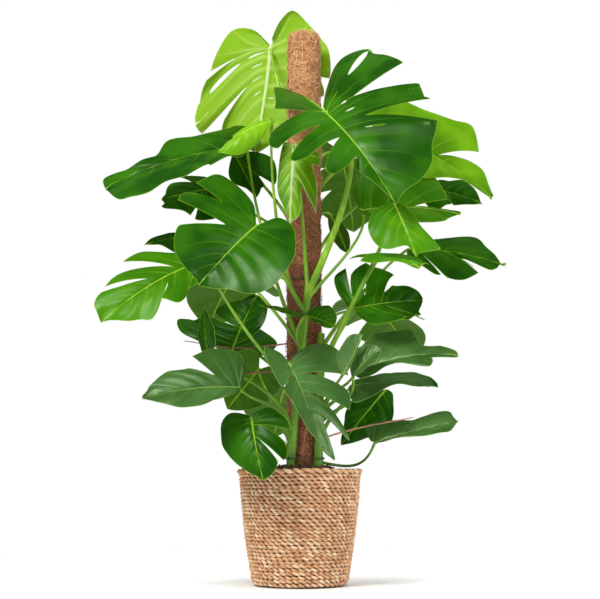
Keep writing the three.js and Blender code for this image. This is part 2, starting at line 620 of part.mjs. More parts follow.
// The flat heart-shaped outline of one half, from behind the knot to the tip, in half widths and lengths.
function outlineOf(leaf, side) {
  if (leaf.edges) {
    const drawn = [...leaf.edges[side > 0 ? 0 : 1], [0, 1.02]];
    return new THREE.SplineCurve(drawn.map(([x, y]) => new THREE.Vector2(x, y)));
  }
  const heart = leaf.heart ?? 1;
  const full = leaf.full ?? 0;
  const lean = leaf.lean ? leaf.lean[side > 0 ? 0 : 1] : 0;
  const points = [
    [0.03, -0.04 * heart],
    [0.35, -0.26 * heart],
    [0.78, -0.19 * heart],
    [1, 0.1 - 0.05 * heart],
    [1, 0.29],
    [0.88 + 0.08 * full, 0.51],
    [0.64 + 0.18 * full, 0.73],
    [0.32 + 0.2 * full, 0.9],
    [0, 1.02],
  ];
  return new THREE.SplineCurve(points.map(([x, y]) => new THREE.Vector2(x, y + lean * x)));
}

const FAN_END = 0.34;
const RIB_END = 0.92;

// Where the side vein at place u leaves the midrib, as a share of the length.
function veinRoot(u) {
  return u <= FAN_END ? 0 : RIB_END * ((u - FAN_END) / (1 - FAN_END)) ** 1.1;
}

// A point on the side vein at place u, at share v of the way from the midrib to the margin.
function veinPoint(outline, root, u, v) {
  const end = outline.getPoint(Math.min(1, Math.max(0, u)));
  const bow = 0.07 * end.x * Math.min(1, Math.max(0, (u - 0.15) / 0.3));
  const middle = new THREE.Vector2(end.x * 0.52, root + (end.y - root) * 0.45 - bow);
  const a = (1 - v) * (1 - v);
  const b = 2 * v * (1 - v);
  const c = v * v;
  return new THREE.Vector2(b * middle.x + c * end.x, a * root + b * middle.y + c * end.y);
}

// The lines that part one half into lobes: its two ends and its cuts.
function lobeLines(cuts) {
  const lines = cuts.map(([u, from, open, to]) => ({ u, from, open, to }));
  return [{ u: 0, from: 1, open: 0 }, ...lines, { u: 1, from: 1, open: 0 }];
}

function halfWidth(line, v) {
  if (!line.open) return 0;
  const t = (v - line.from) / ((line.to ?? 1) - line.from);
  if (t <= 1e-9 || (line.to && t >= 1 - 1e-9)) return 0;
  return line.to ? line.open * Math.sqrt(4 * t * (1 - t)) : line.open * (0.7 * Math.sqrt(t) + 0.3 * t);
}

// The places of the columns along one line, evenly spread, with one where a cut or hole begins or ends.
function columnPlaces(line, count) {
  const stops = [[0, 0]];
  if (line.open) {
    const hole = line.to < 1;
    const first = Math.min(count - (hole ? 3 : 1), Math.max(1, Math.round(line.from * count)));
    stops.push([first, line.from]);
    const last = Math.max(first + 2, Math.min(count - 1, Math.round(line.to * count)));
    if (hole) stops.push([last, line.to]);
  }
  stops.push([count, 1]);
  return Array.from({ length: count + 1 }, (_, j) => {
    const k = stops.findIndex(([place], i) => i > 0 && j <= place);
    const [a, va] = stops[k - 1];
    const [b, vb] = stops[k];
    return va + ((vb - va) * (j - a)) / (b - a);
  });
}

// Shares a number of rows among the lobes by their size, at least one each.
function rowShares(lines, rows) {
  const spans = lines.slice(1).map((line, i) => line.u - lines[i].u);
  const shares = spans.map((span) => Math.max(1, Math.round(span * rows)));
  while (shares.reduce((a, b) => a + b) !== rows) {
    const over = shares.reduce((a, b) => a + b) > rows;
    const score = shares.map((n, i) => (over ? (n > 1 ? n - spans[i] * rows : -1e9) : spans[i] * rows - n));
    shares[score.indexOf(Math.max(...score))] += over ? -1 : 1;
  }
  return shares;
}

// The rows of one half: each row has the place u of its vein, and for each column its place in the half.
function halfGrid(cuts, rows, columns) {
  const lines = lobeLines(cuts);
  const shares = rowShares(lines, rows);
  const strips = [];
  let first = 0;
  shares.forEach((share, i) => {
    const [low, high] = [lines[i], lines[i + 1]];
    const lowCut = low.open > 0 && !(low.to < 1);
    const highCut = high.open > 0 && !(high.to < 1);
    const lowPlaces = columnPlaces(low, columns);
    const highPlaces = columnPlaces(high, columns);
    const strip = [];
    for (let r = 0; r <= share; r++) {
      const q = r / share;
      const open = THREE.MathUtils.lerp(lowCut ? low.from : 1, highCut ? high.from : 1, q);
      const trim = (lowCut ? 0.16 * (1 - q) ** 3 : 0) + (highCut ? 0.03 * q ** 3 : 0);
      const cells = lowPlaces.map((lowV, j) => {
        const plain = THREE.MathUtils.lerp(lowV, highPlaces[j], q);
        const past = Math.max(0, plain - open);
        const lowU = low.u + halfWidth(low, lowV);
        const highU = high.u - halfWidth(high, highPlaces[j]);
        const u = THREE.MathUtils.lerp(lowU, highU, q);
        return { u, v: plain - past * trim, past: open < 1 ? (past / (1 - open)) * (q - 0.5) : 0 };
      });
      strip.push({ row: first + r, plainU: THREE.MathUtils.lerp(low.u, high.u, q), cells });
    }
    strips.push(strip);
    first += share;
  });
  return strips;
}

// Bends a point of the flat blade into place: fold and roll across, twist and droop along.
function bendBlade(leaf, chord, side, flat, u, v, tilt) {
  const half = leaf.width / 2;
  const bend = THREE.MathUtils.degToRad(leaf.bend);
  const length = (chord * (bend / 2)) / Math.sin(bend / 2);
  const roll = THREE.MathUtils.degToRad(leaf.roll[side > 0 ? 0 : 1]) / half;
  const fold = THREE.MathUtils.degToRad(leaf.fold);
  const x = flat.x * half;
  const y = flat.y * length;
  const arcX = Math.sin(roll * x) / roll;
  const arcZ = -(1 - Math.cos(roll * x)) / roll;
  const wave = (leaf.wave ?? 0.03) * half * Math.sin(19 * u + leaf.width + side) * v * v;
  let across = side * (arcX * Math.cos(fold) - arcZ * Math.sin(fold));
  let rise = arcX * Math.sin(fold) + arcZ * Math.cos(fold) + wave + tilt * half * 0.16;
  const twist = THREE.MathUtils.degToRad(leaf.twist ?? 0) * (y / length);
  [across, rise] = [
    across * Math.cos(twist) - rise * Math.sin(twist),
    across * Math.sin(twist) + rise * Math.cos(twist),
  ];
  const radius = length / bend;
  const angle = (bend * y) / length - bend / 2;
  return new THREE.Vector3(
    across,
    radius * (Math.sin(angle) + Math.sin(bend / 2)) + rise * Math.sin(angle),
    radius * (Math.cos(angle) - Math.cos(bend / 2)) + rise * Math.cos(angle),
  );
}

// The blade's middle surface as merged points and triangles, with the midrib's points marked.
function bladeSurface(leaf) {
  const { matrix, chord } = leafFrame(leaf);
  const { rows, columns } = BLADE.grids.find(({ width }) => leaf.width > width);
  const halves = [leaf.plus, leaf.minus].map((cuts) => halfGrid(cuts, rows, columns));
  const roots = [];
  halves.forEach((strips) =>
    strips.flat().forEach(({ row, plainU }) => {
      roots[row] = (roots[row] ?? []).concat(veinRoot(plainU));
    }),
  );
  const rootAt = (row) => (Math.min(...roots[row]) + Math.max(...roots[row])) / 2;
  const points = [];
  const rib = [];
  const known = new Map();
  const faces = [];
  const add = (point, share) => {
    const key = point.toArray().map((n) => Math.round(n * 100)).join();
    if (!known.has(key)) {
      known.set(key, points.length);
      points.push(point);
      rib.push(share);
    }
    return known.get(key);
  };
  halves.forEach((strips, h) => {
    const side = h === 0 ? 1 : -1;
    const outline = outlineOf(leaf, side);
    strips.forEach((strip) => {
      const ids = strip.map(({ row, cells }) =>
        cells.map(({ u, v, past }) => {
          const flat = veinPoint(outline, rootAt(row), u, v);
          const placed = bendBlade(leaf, chord, side, flat, u, v, past).applyMatrix4(matrix);
          return add(placed, v === 0 ? 1 - flat.y * 0.8 : 0);
        }),
      );
      for (let r = 0; r + 1 < ids.length; r++)
        for (let j = 0; j < columns; j++) {
          const [a, b, c, d] = [ids[r][j], ids[r + 1][j], ids[r + 1][j + 1], ids[r][j + 1]];
          const pair = side > 0 ? [[a, c, b], [a, d, c]] : [[a, b, c], [a, c, d]];
          pair.forEach((f) => {
            if (new Set(f).size === 3) faces.push(f);
          });
        }
    });
  });
  return { points, faces, rib };
}

// A blade as a closed sheet, with the midrib standing out below. grow swells it on all sides.
function bladeGeometry(leaf, grow) {
  const { points, faces, rib } = bladeSurface(leaf);
  const normals = points.map(() => new THREE.Vector3());
  faces.forEach((f) => {
    const [a, b, c] = f.map((i) => points[i]);
    const n = b.clone().sub(a).cross(c.clone().sub(a));
    f.forEach((i) => normals[i].add(n));
  });
  normals.forEach((n) => n.normalize());
  const edges = new Map();
  faces.forEach((f) => f.forEach((a, i) => edges.set(`${a},${f[(i + 1) % 3]}`, [a, f[(i + 1) % 3]])));
  const rim = [...edges.values()].filter(([a, b]) => !edges.has(`${b},${a}`));
  const outward = points.map(() => new THREE.Vector3());
  rim.forEach(([a, b]) => {
    const along = points[b].clone().sub(points[a]).normalize();
    [a, b].forEach((i) => outward[i].add(along.clone().cross(normals[i])));
  });
  const grown = points.map((p, i) => p.clone().addScaledVector(outward[i].normalize(), grow));
  const deep = BLADE.thick / 2 + grow;
  const top = grown.map((p, i) => p.clone().addScaledVector(normals[i], deep));
  const under = grown.map((p, i) => p.clone().addScaledVector(normals[i], -deep - BLADE.rib * rib[i]));
  const count = points.length;
  const triangles = [
    ...faces,
    ...faces.map(([a, b, c]) => [c + count, b + count, a + count]),
    ...rim.flatMap(([a, b]) => [[b, a, a + count], [b, a + count, b + count]]),
  ];
  const geometry = new THREE.BufferGeometry();
  const place = [...top, ...under].flatMap((p) => p.toArray());
  geometry.setAttribute("position", new THREE.Float32BufferAttribute(place, 3));
  geometry.setIndex(triangles.flat());
  return geometry;
}

// A tube along a curve, its radius given for each share of the length, closed by flat ends or into a ring.
function tubeGeometry(curve, radiusAt, sides, steps, ring = false) {
  const { normals, binormals } = curve.computeFrenetFrames(steps, ring);
  const place = [];
  const rounds = ring ? steps : steps + 1;
  for (let i = 0; i < rounds; i++) {
    const centre = curve.getPointAt(i / steps);
    for (let s = 0; s < sides; s++) {
      const angle = (2 * Math.PI * s) / sides;
      const p = centre
        .clone()
        .addScaledVector(normals[i], Math.cos(angle) * radiusAt(i / steps))
        .addScaledVector(binormals[i], Math.sin(angle) * radiusAt(i / steps));
      place.push(...p.toArray());
    }
  }
  const index = [];
  for (let i = 0; i < steps; i++)
    for (let s = 0; s < sides; s++) {
      const [a, b] = [i * sides + s, i * sides + ((s + 1) % sides)];
      const [c, d] = [a, b].map((n) => (n + sides) % (rounds * sides));
      index.push(a, b, d, a, d, c);
    }
  if (!ring)
    for (let s = 1; s + 1 < sides; s++) {
      index.push(0, s + 1, s);
      index.push(steps * sides, steps * sides + s, steps * sides + s + 1);
    }
  const geometry = new THREE.BufferGeometry();
  geometry.setAttribute("position", new THREE.Float32BufferAttribute(place, 3));
  geometry.setIndex(index);
  return geometry;
}

function solidFrom(geometry) {
  const bare = geometry.clone();
  bare.deleteAttribute("normal");
  bare.deleteAttribute("uv");
  const merged = mergeVertices(bare, 1e-3);
  return new wasm.Manifold(
    new wasm.Mesh({
      numProp: 3,
      vertProperties: merged.attributes.position.array,
      triVerts: new Uint32Array(merged.index.array),
    }),
  );
}

// The largest body of a solid: a scrap that a cut leaves loose is dropped.
function largest(solid) {
  return solid.decompose().sort((a, b) => b.volume() - a.volume())[0];
}

function geometryFrom(solid) {
  const mesh = solid.getMesh();
  const place = new Float32Array(mesh.numVert * 3);
  for (let i = 0; i < mesh.numVert; i++) {
    place.set(mesh.vertProperties.subarray(i * mesh.numProp, i * mesh.numProp + 3), i * 3);
  }
  return new THREE.BufferGeometry()
    .setAttribute("position", new THREE.BufferAttribute(place, 3))
    .setIndex(new THREE.BufferAttribute(mesh.triVerts, 1));
}

function latheSolid(profile, sides, centre = { x: 0, y: 0 }) {
  const points = profile.map(([r, z]) => new THREE.Vector2(r, z));
  const turned = new THREE.LatheGeometry(points, sides).rotateX(Math.PI / 2);
  return solidFrom(turned.translate(centre.x, centre.y, 0));
}

// A stem's middle line: it keeps to the pole and winds slowly round it.
function stemCurve(stem) {
  const reach = POLE.radius + POLE.lump + stem.radius + STEM.clear;
  const count = Math.round((stem.top - STEM.foot) / STEM.step);
  const points = Array.from({ length: count + 1 }, (_, i) => {
    const angle = THREE.MathUtils.degToRad(stem.turn + (stem.wind * i) / count);
    const z = STEM.foot + ((stem.top - STEM.foot) * i) / count;
    return new THREE.Vector3(POLE.x + reach * Math.sin(angle), POLE.y - reach * Math.cos(angle), z);
  });
  return new THREE.CatmullRomCurve3(points);
}

function stemPoint(stem, height) {
  return stemCurve(stem).getPointAt(Math.min(1, (height - STEM.foot) / (stem.top - STEM.foot)));
}

function petioleEnd(leaf) {
  return Math.max(PETIOLE.knot, (leaf.petiole ?? 0) * PETIOLE.taper);
}

// A petiole leaves its stem upwards, swings out, and comes up to the blade from its underside. It ends that
// far below the blade's middle.
function petioleCurve(leaf, below) {
  const { up, along, knot } = leafFrame(leaf);
  const start = stemPoint(STEMS[leaf.stem], leaf.from);
  knot.addScaledVector(up, -below);
  const span = knot.distanceTo(start);
  const outward = new THREE.Vector3(start.x - POLE.x, start.y - POLE.y, 0).normalize();
  const leave = start.clone().addScaledVector(outward, span * 0.16);
  leave.z += span * 0.42;
  const reach = Math.min(110, span * 0.4);
  const arrive = knot.clone().addScaledVector(up, -reach * 0.8).addScaledVector(along, -reach * 0.45);
  if (leaf.via) arrive.add(new THREE.Vector3(...leaf.via));
  if (leaf.swing) {
    leave.set(...leaf.swing[0]);
    arrive.set(...leaf.swing[1]);
  }
  return new THREE.CubicBezierCurve3(start, leave, arrive, knot);
}

function petioleSolid(leaf, below, grow) {
  const base = (leaf.petiole ?? PETIOLE.base) + grow;
  const radiusAt = (t) => THREE.MathUtils.lerp(base, petioleEnd(leaf) + grow, Math.min(1, t * 1.2));
  return solidFrom(tubeGeometry(petioleCurve(leaf, below), radiusAt, PETIOLE.sides, PETIOLE.steps));
}

// How far below its blade's middle a petiole ends, to lie as near as it can without touching.
function petioleDrop(leaf) {
  const blade = solidFrom(bladeGeometry(leaf, 0));
  let [near, far] = [0, 16];
  for (let i = 0; i < 9; i++) {
    const middle = (near + far) / 2;
    if (petioleSolid(leaf, middle, 0).minGap(blade, 2) > GAP) far = middle;
    else near = middle;
  }
  return far;
}

const nodes = new Map();

function addNode(name, solid, colour, roughness) {
  nodes.set(name, { solid, colour, roughness });
}

// Basket: rows of twisted seagrass rope from the floor up to a thicker rope rim, open at the top.
function basketRadius(z) {
  const rise = Math.min(1, z / BASKET.height);
  const low = THREE.MathUtils.lerp(BASKET.shoulder, BASKET.mouth, rise);
  const swell = 4 * Math.sin(Math.PI * rise);
  const foot = Math.max(0, 1 - z / 14);
  return low + swell - foot * foot * (BASKET.shoulder - BASKET.base);
}

function basketSolid() {
  const profile = [[0, 0], [BASKET.base, 0]];
  const pitch = (BASKET.height - 2 * BASKET.rope) / BASKET.rows;
  for (let i = 0; i < BASKET.rows; i++) {
    profile.push([basketRadius(pitch * (i + 0.5)), pitch * (i + 0.5)]);
    profile.push([basketRadius(pitch * (i + 1)) - 2.5, pitch * (i + 1)]);
  }
  const inner = BASKET.mouth - BASKET.wall;
  profile.push([BASKET.mouth + 3, BASKET.height - 9], [BASKET.mouth + 4, BASKET.height - 4]);
  profile.push([BASKET.mouth, BASKET.height], [inner - 1, BASKET.height - 1]);
  profile.push([inner - 2, BASKET.height - 8], [basketRadius(140) - BASKET.wall, 140]);
  profile.push([basketRadius(20) - BASKET.wall, 18], [BASKET.base + 2, BASKET.floor], [0, BASKET.floor]);
  return latheSolid(profile, BASKET.sides);
}

function potSolid() {
  const foot = BASKET.floor + GAP;
  const body = latheSolid(
    [
      [0, foot],
      [POT.foot, foot],
      [POT.mouth - 2, POT.rim - 14],
      [POT.lip, POT.rim - 13],
      [POT.lip, POT.rim],
      [POT.mouth - 3, POT.rim],
      [POT.mouth - 3 - POT.wall, POT.rim - 14],
      [POT.foot - POT.wall, foot + POT.floor],
      [0, foot + POT.floor],
    ],
    20,
  );
  return [0, 1, 2, 3].reduce((pot, i) => {
    const drain = new THREE.CylinderGeometry(POT.hole, POT.hole, 20, 8).rotateX(Math.PI / 2);
    const angle = (i * Math.PI) / 2 + Math.PI / 4;
    drain.translate(POT.holeRing * Math.cos(angle), POT.holeRing * Math.sin(angle), foot);
    return pot.subtract(solidFrom(drain));
  }, body);
}

function poleSolid() {
  const profile = [[CORE.radius + GAP, POLE.low], [POLE.radius, POLE.low]];
  for (let i = 1; i < POLE.rings; i++) {
    const z = POLE.low + ((POLE.top - 12 - POLE.low) * i) / POLE.rings;
    profile.push([POLE.radius + POLE.lump * Math.sin(i * 2.4), z]);
  }
  profile.push([POLE.radius + 1, POLE.top - 14], [POLE.radius - 4, POLE.top - 3]);
  profile.push([POLE.radius - 16, POLE.top], [0, POLE.top + 1], [0, CORE.top + GAP + 1]);
  profile.push([CORE.radius + GAP, CORE.top + GAP + 1], [CORE.radius + GAP, POLE.low]);
  return latheSolid(profile, POLE.sides, POLE);
}

function coreSolid() {
  const inner = CORE.radius - CORE.wall;
  const outside = [[inner, CORE.low], [CORE.radius, CORE.low], [CORE.radius, CORE.top]];
  return latheSolid([...outside, [inner, CORE.top], [inner, CORE.low]], POLE.sides, POLE);
}

function soilSolid(stemHoles) {
  const foot = BASKET.floor + GAP + POT.floor + SOIL.clear;
  const [low, high] = [POT.foot - POT.wall, POT.mouth - 3 - POT.wall];
  const wallAt = (z) => THREE.MathUtils.mapLinear(z, foot, POT.rim - 14, low, high) - SOIL.clear - 2;
  const body = latheSolid(
    [
      [0, foot],
      [wallAt(foot), foot],
      [wallAt(SOIL.edge - 8), SOIL.edge - 8],
      [wallAt(SOIL.edge - 8) - 4, SOIL.edge],
      [96, SOIL.crown - 12],
      [66, SOIL.crown - 2],
      [30, SOIL.crown],
      [0, SOIL.crown],
    ],
    18,
  );
  const sleeve = new THREE.CylinderGeometry(POLE.radius + 2.6, POLE.radius + 2.6, 400, POLE.sides)
    .rotateX(Math.PI / 2)
    .translate(POLE.x, POLE.y, POLE.low + 200 - GAP);
  const core = new THREE.CylinderGeometry(CORE.radius + 0.8, CORE.radius + 0.8, 400, POLE.sides)
    .rotateX(Math.PI / 2)
    .translate(POLE.x, POLE.y, POLE.low - 20);
  return stemHoles.reduce(
    (soil, hole) => soil.subtract(hole),
    body.subtract(solidFrom(sleeve)).subtract(solidFrom(core)),
  );
}

// A tie lies taut round the pole and the stems at one height: the hull of their outlines.
function tieSolid(height, extra) {
  const spots = [];
  const ringOf = (x, y, r) => {
    for (let i = 0; i < 24; i++) {
      const angle = (i * Math.PI) / 12;
      spots.push(new THREE.Vector2(x + r * Math.cos(angle), y + r * Math.sin(angle)));
    }
  };
  const stand = TIE.radius + TIE.slack;
  ringOf(POLE.x, POLE.y, POLE.radius + POLE.lump + stand);
  Object.values(STEMS).forEach((stem) => {
    if (height > stem.top) return;
    const p = stemPoint(stem, height);
    ringOf(p.x, p.y, stem.radius + stand);
  });
  const hull = [];
  let here = spots.reduce((a, b) => (b.x < a.x ? b : a));
  do {
    hull.push(here);
    const from = here;
    here = spots.reduce((best, p) => {
      if (p === from) return best;
      const turn = (best.x - from.x) * (p.y - from.y) - (best.y - from.y) * (p.x - from.x);
      return best === from || turn < 0 ? p : best;
    }, from);
  } while (here !== hull[0] && hull.length < spots.length);
  const curve = new THREE.CatmullRomCurve3(hull.map((p) => new THREE.Vector3(p.x, p.y, height)), true);
  return solidFrom(tubeGeometry(curve, () => TIE.radius + extra, TIE.sides, TIE.steps, true));
}

const stemRadiusAt = (stem, extra) => (t) => stem.radius * (1 - 0.2 * t) + extra;

function stemSolid(stem, extra) {
  const steps = Math.round((stem.top - STEM.foot) / STEM.step);
  return solidFrom(tubeGeometry(stemCurve(stem), stemRadiusAt(stem, extra), STEM.sides, steps));
}

// A stem with the petioles of its leaves. grow swells it on all sides.
function vineSolid(name, grow) {
  return Object.values(LEAVES)
    .filter((leaf) => leaf.stem === name)
    .reduce(
      (vine, leaf) => vine.add(petioleSolid(leaf, drops.get(leaf), grow)),
      stemSolid(STEMS[name], grow),
    );
}

// A root starts in the middle of its stem, and what lies inside the stem or a petiole is cut away.
function rootSolid(root) {
  const path = root.path.map((p) => new THREE.Vector3(...p));
  const curve = new THREE.CatmullRomCurve3([stemPoint(STEMS[root.stem], root.from), ...path]);
  const tube = solidFrom(tubeGeometry(curve, (t) => root.radius * (1 - 0.45 * t), 5, 8));
  return largest(tube.subtract(vineSolid(root.stem, GAP)));
}

const drops = new Map(Object.values(LEAVES).map((leaf) => [leaf, petioleDrop(leaf)]));
const ties = Object.entries(TIES);
const bladeRooms = Object.values(LEAVES).map((leaf) => solidFrom(bladeGeometry(leaf, GAP)));
const stemHoles = Object.values(STEMS).flatMap((stem) => {
  const hole = stemSolid(stem, GAP + 0.1);
  return [hole, hole.translate([0, 0, -GAP])];
});

addNode("basket", basketSolid(), COLOURS.seagrass, 0.8);
addNode("nursery_pot", potSolid(), COLOURS.pot, 0.6);
addNode("soil", largest(soilSolid(stemHoles)), COLOURS.soil, 0.95);
addNode("pole_core", coreSolid(), COLOURS.core, 0.6);
addNode("coir_pole", poleSolid(), COLOURS.coir, 0.95);
for (const name of Object.keys(STEMS)) {
  const clear = bladeRooms.reduce((vine, room) => vine.subtract(room), vineSolid(name, 0));
  const tied = ties.reduce((vine, [, height]) => vine.subtract(tieSolid(height, GAP)), clear);
  addNode(`vine_${name}`, largest(largest(tied).simplify(0.05)), COLOURS.stemGreen, 0.5);
}
ties.forEach(([name, height]) => addNode(name, tieSolid(height, 0), COLOURS.tie, 0.6));
for (const [name, root] of Object.entries(ROOTS)) {
  addNode(name, rootSolid(root), COLOURS.root, 0.8);
}
for (const [name, leaf] of Object.entries(LEAVES)) {
  const colour = leaf.light ? COLOURS.leafLight : COLOURS.leafDark;
  addNode(name, solidFrom(bladeGeometry(leaf, 0)), colour, 0.4);
}

const plant = new THREE.Group();
for (const [name, { solid, colour, roughness }] of nodes) {
  const material = new THREE.MeshStandardMaterial({ color: colour, roughness, metalness: 0 });
  const mesh = new THREE.Mesh(geometryFrom(solid), material);
  mesh.name = name;
  plant.add(mesh);
}

export default plant;
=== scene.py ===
"""Looks of a potted swiss cheese plant (Monstera): glossy cut leaves on a coir pole, in a seagrass basket.

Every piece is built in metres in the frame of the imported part: +Z up, the viewer looks along +Y, and the
origin is the middle of the basket's underside. The tables below hold millimetres.
"""
import math

import bpy
import numpy as np
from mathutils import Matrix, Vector


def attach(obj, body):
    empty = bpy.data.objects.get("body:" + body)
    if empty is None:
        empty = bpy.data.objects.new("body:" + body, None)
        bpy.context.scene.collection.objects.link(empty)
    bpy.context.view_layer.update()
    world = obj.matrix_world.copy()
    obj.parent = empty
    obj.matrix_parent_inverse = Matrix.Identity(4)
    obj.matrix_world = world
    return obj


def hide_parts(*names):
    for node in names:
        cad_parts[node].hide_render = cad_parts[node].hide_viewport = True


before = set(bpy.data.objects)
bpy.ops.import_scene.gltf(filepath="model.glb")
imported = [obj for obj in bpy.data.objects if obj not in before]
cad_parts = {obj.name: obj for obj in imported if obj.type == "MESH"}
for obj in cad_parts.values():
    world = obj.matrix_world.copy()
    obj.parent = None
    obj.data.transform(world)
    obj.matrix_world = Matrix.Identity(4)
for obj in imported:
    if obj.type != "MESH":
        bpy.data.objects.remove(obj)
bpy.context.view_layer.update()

MM = 0.001
dice = np.random.default_rng(7)

# Sizes of the parts that carry the plant, in millimetres
BASKET = {
    "height": 276, "base": 98, "shoulder": 111, "mouth": 145, "wall": 8, "floor": 7, "belly": 4, "curl": 14,
}
POT = {"foot": 96, "mouth": 128, "lip": 131, "rim": 262, "wall": 2, "floor": 3, "band": 14}
SOIL = {"edge": 252, "crown": 284, "wall": 118}
POLE = {"x": 10, "y": 0, "radius": 41, "low": 130, "top": 1380, "rings": 70}
CORE_RADIUS = 16
STEM = {"foot": 175, "clear": 1.2, "lump": 1.6}
PETIOLE = {"base": 5.6, "knot": 3, "taper": 0.55, "steps": 30, "sides": 14, "groove": 0.34}

# Rings of two strands twined round each other. strand: radius of one. twist: how far each lies from the ring's
# middle. turns: windings in the widest ring. steps: points to a winding. low: where the lowest row starts.
# spare: what the rows leave free of the basket's height. inset, drop: how far the rim's rope lies in from the
# mouth and below the top.
WEAVE = {"rows": 30, "low": 3.6, "spare": 17, "strand": 3.5, "twist": 3.0, "turns": 30, "steps": 12, "sides": 6}
RIM = {"strand": 4.6, "twist": 4.0, "turns": 19, "inset": 2, "drop": 8}
UNDERSIDE = {"rings": 6, "apart": 16, "height": 5.0, "strand": 3.2, "twist": 1.7, "turns": 14}

# Loose fibres on the pole and chips on the soil. low: how far above the pole's foot the fibres start.
# reach: how far out the chips lie. form: how long, wide and thick a chip is.
FIBRES = {"count": 3600, "low": 140, "length": (26, 74), "radius": (0.45, 1.0)}
CHIPS = {"count": 900, "reach": 112, "size": (1.6, 4.6), "form": (1.5, 0.9, 0.55), "uneven": 0.16}

# Relief and fineness of a leaf blade, in millimetres. bulge: how far it rises between side veins.
# rib: depth and spread of the midrib. channel: depth and spread of the hollow over it.
# grids: for blades wider than the first number, rows and columns of each half.
BLADE = {
    "thick": 0.9, "rib": (2.4, 3.2), "bulge": 2.0, "channel": (1.4, 7),
    "grids": [(290, 66, 22), (204, 52, 18), (0, 40, 14)],
}
VEINS = 9  # side veins of a half

# The three stems, as turn round the pole, winding on the way up, top and radius
STEMS = {
    "left": (-48, 60, 725, 11),
    "right": (34, 14, 600, 11.5),
    "back": (165, 24, 990, 10.5),
}

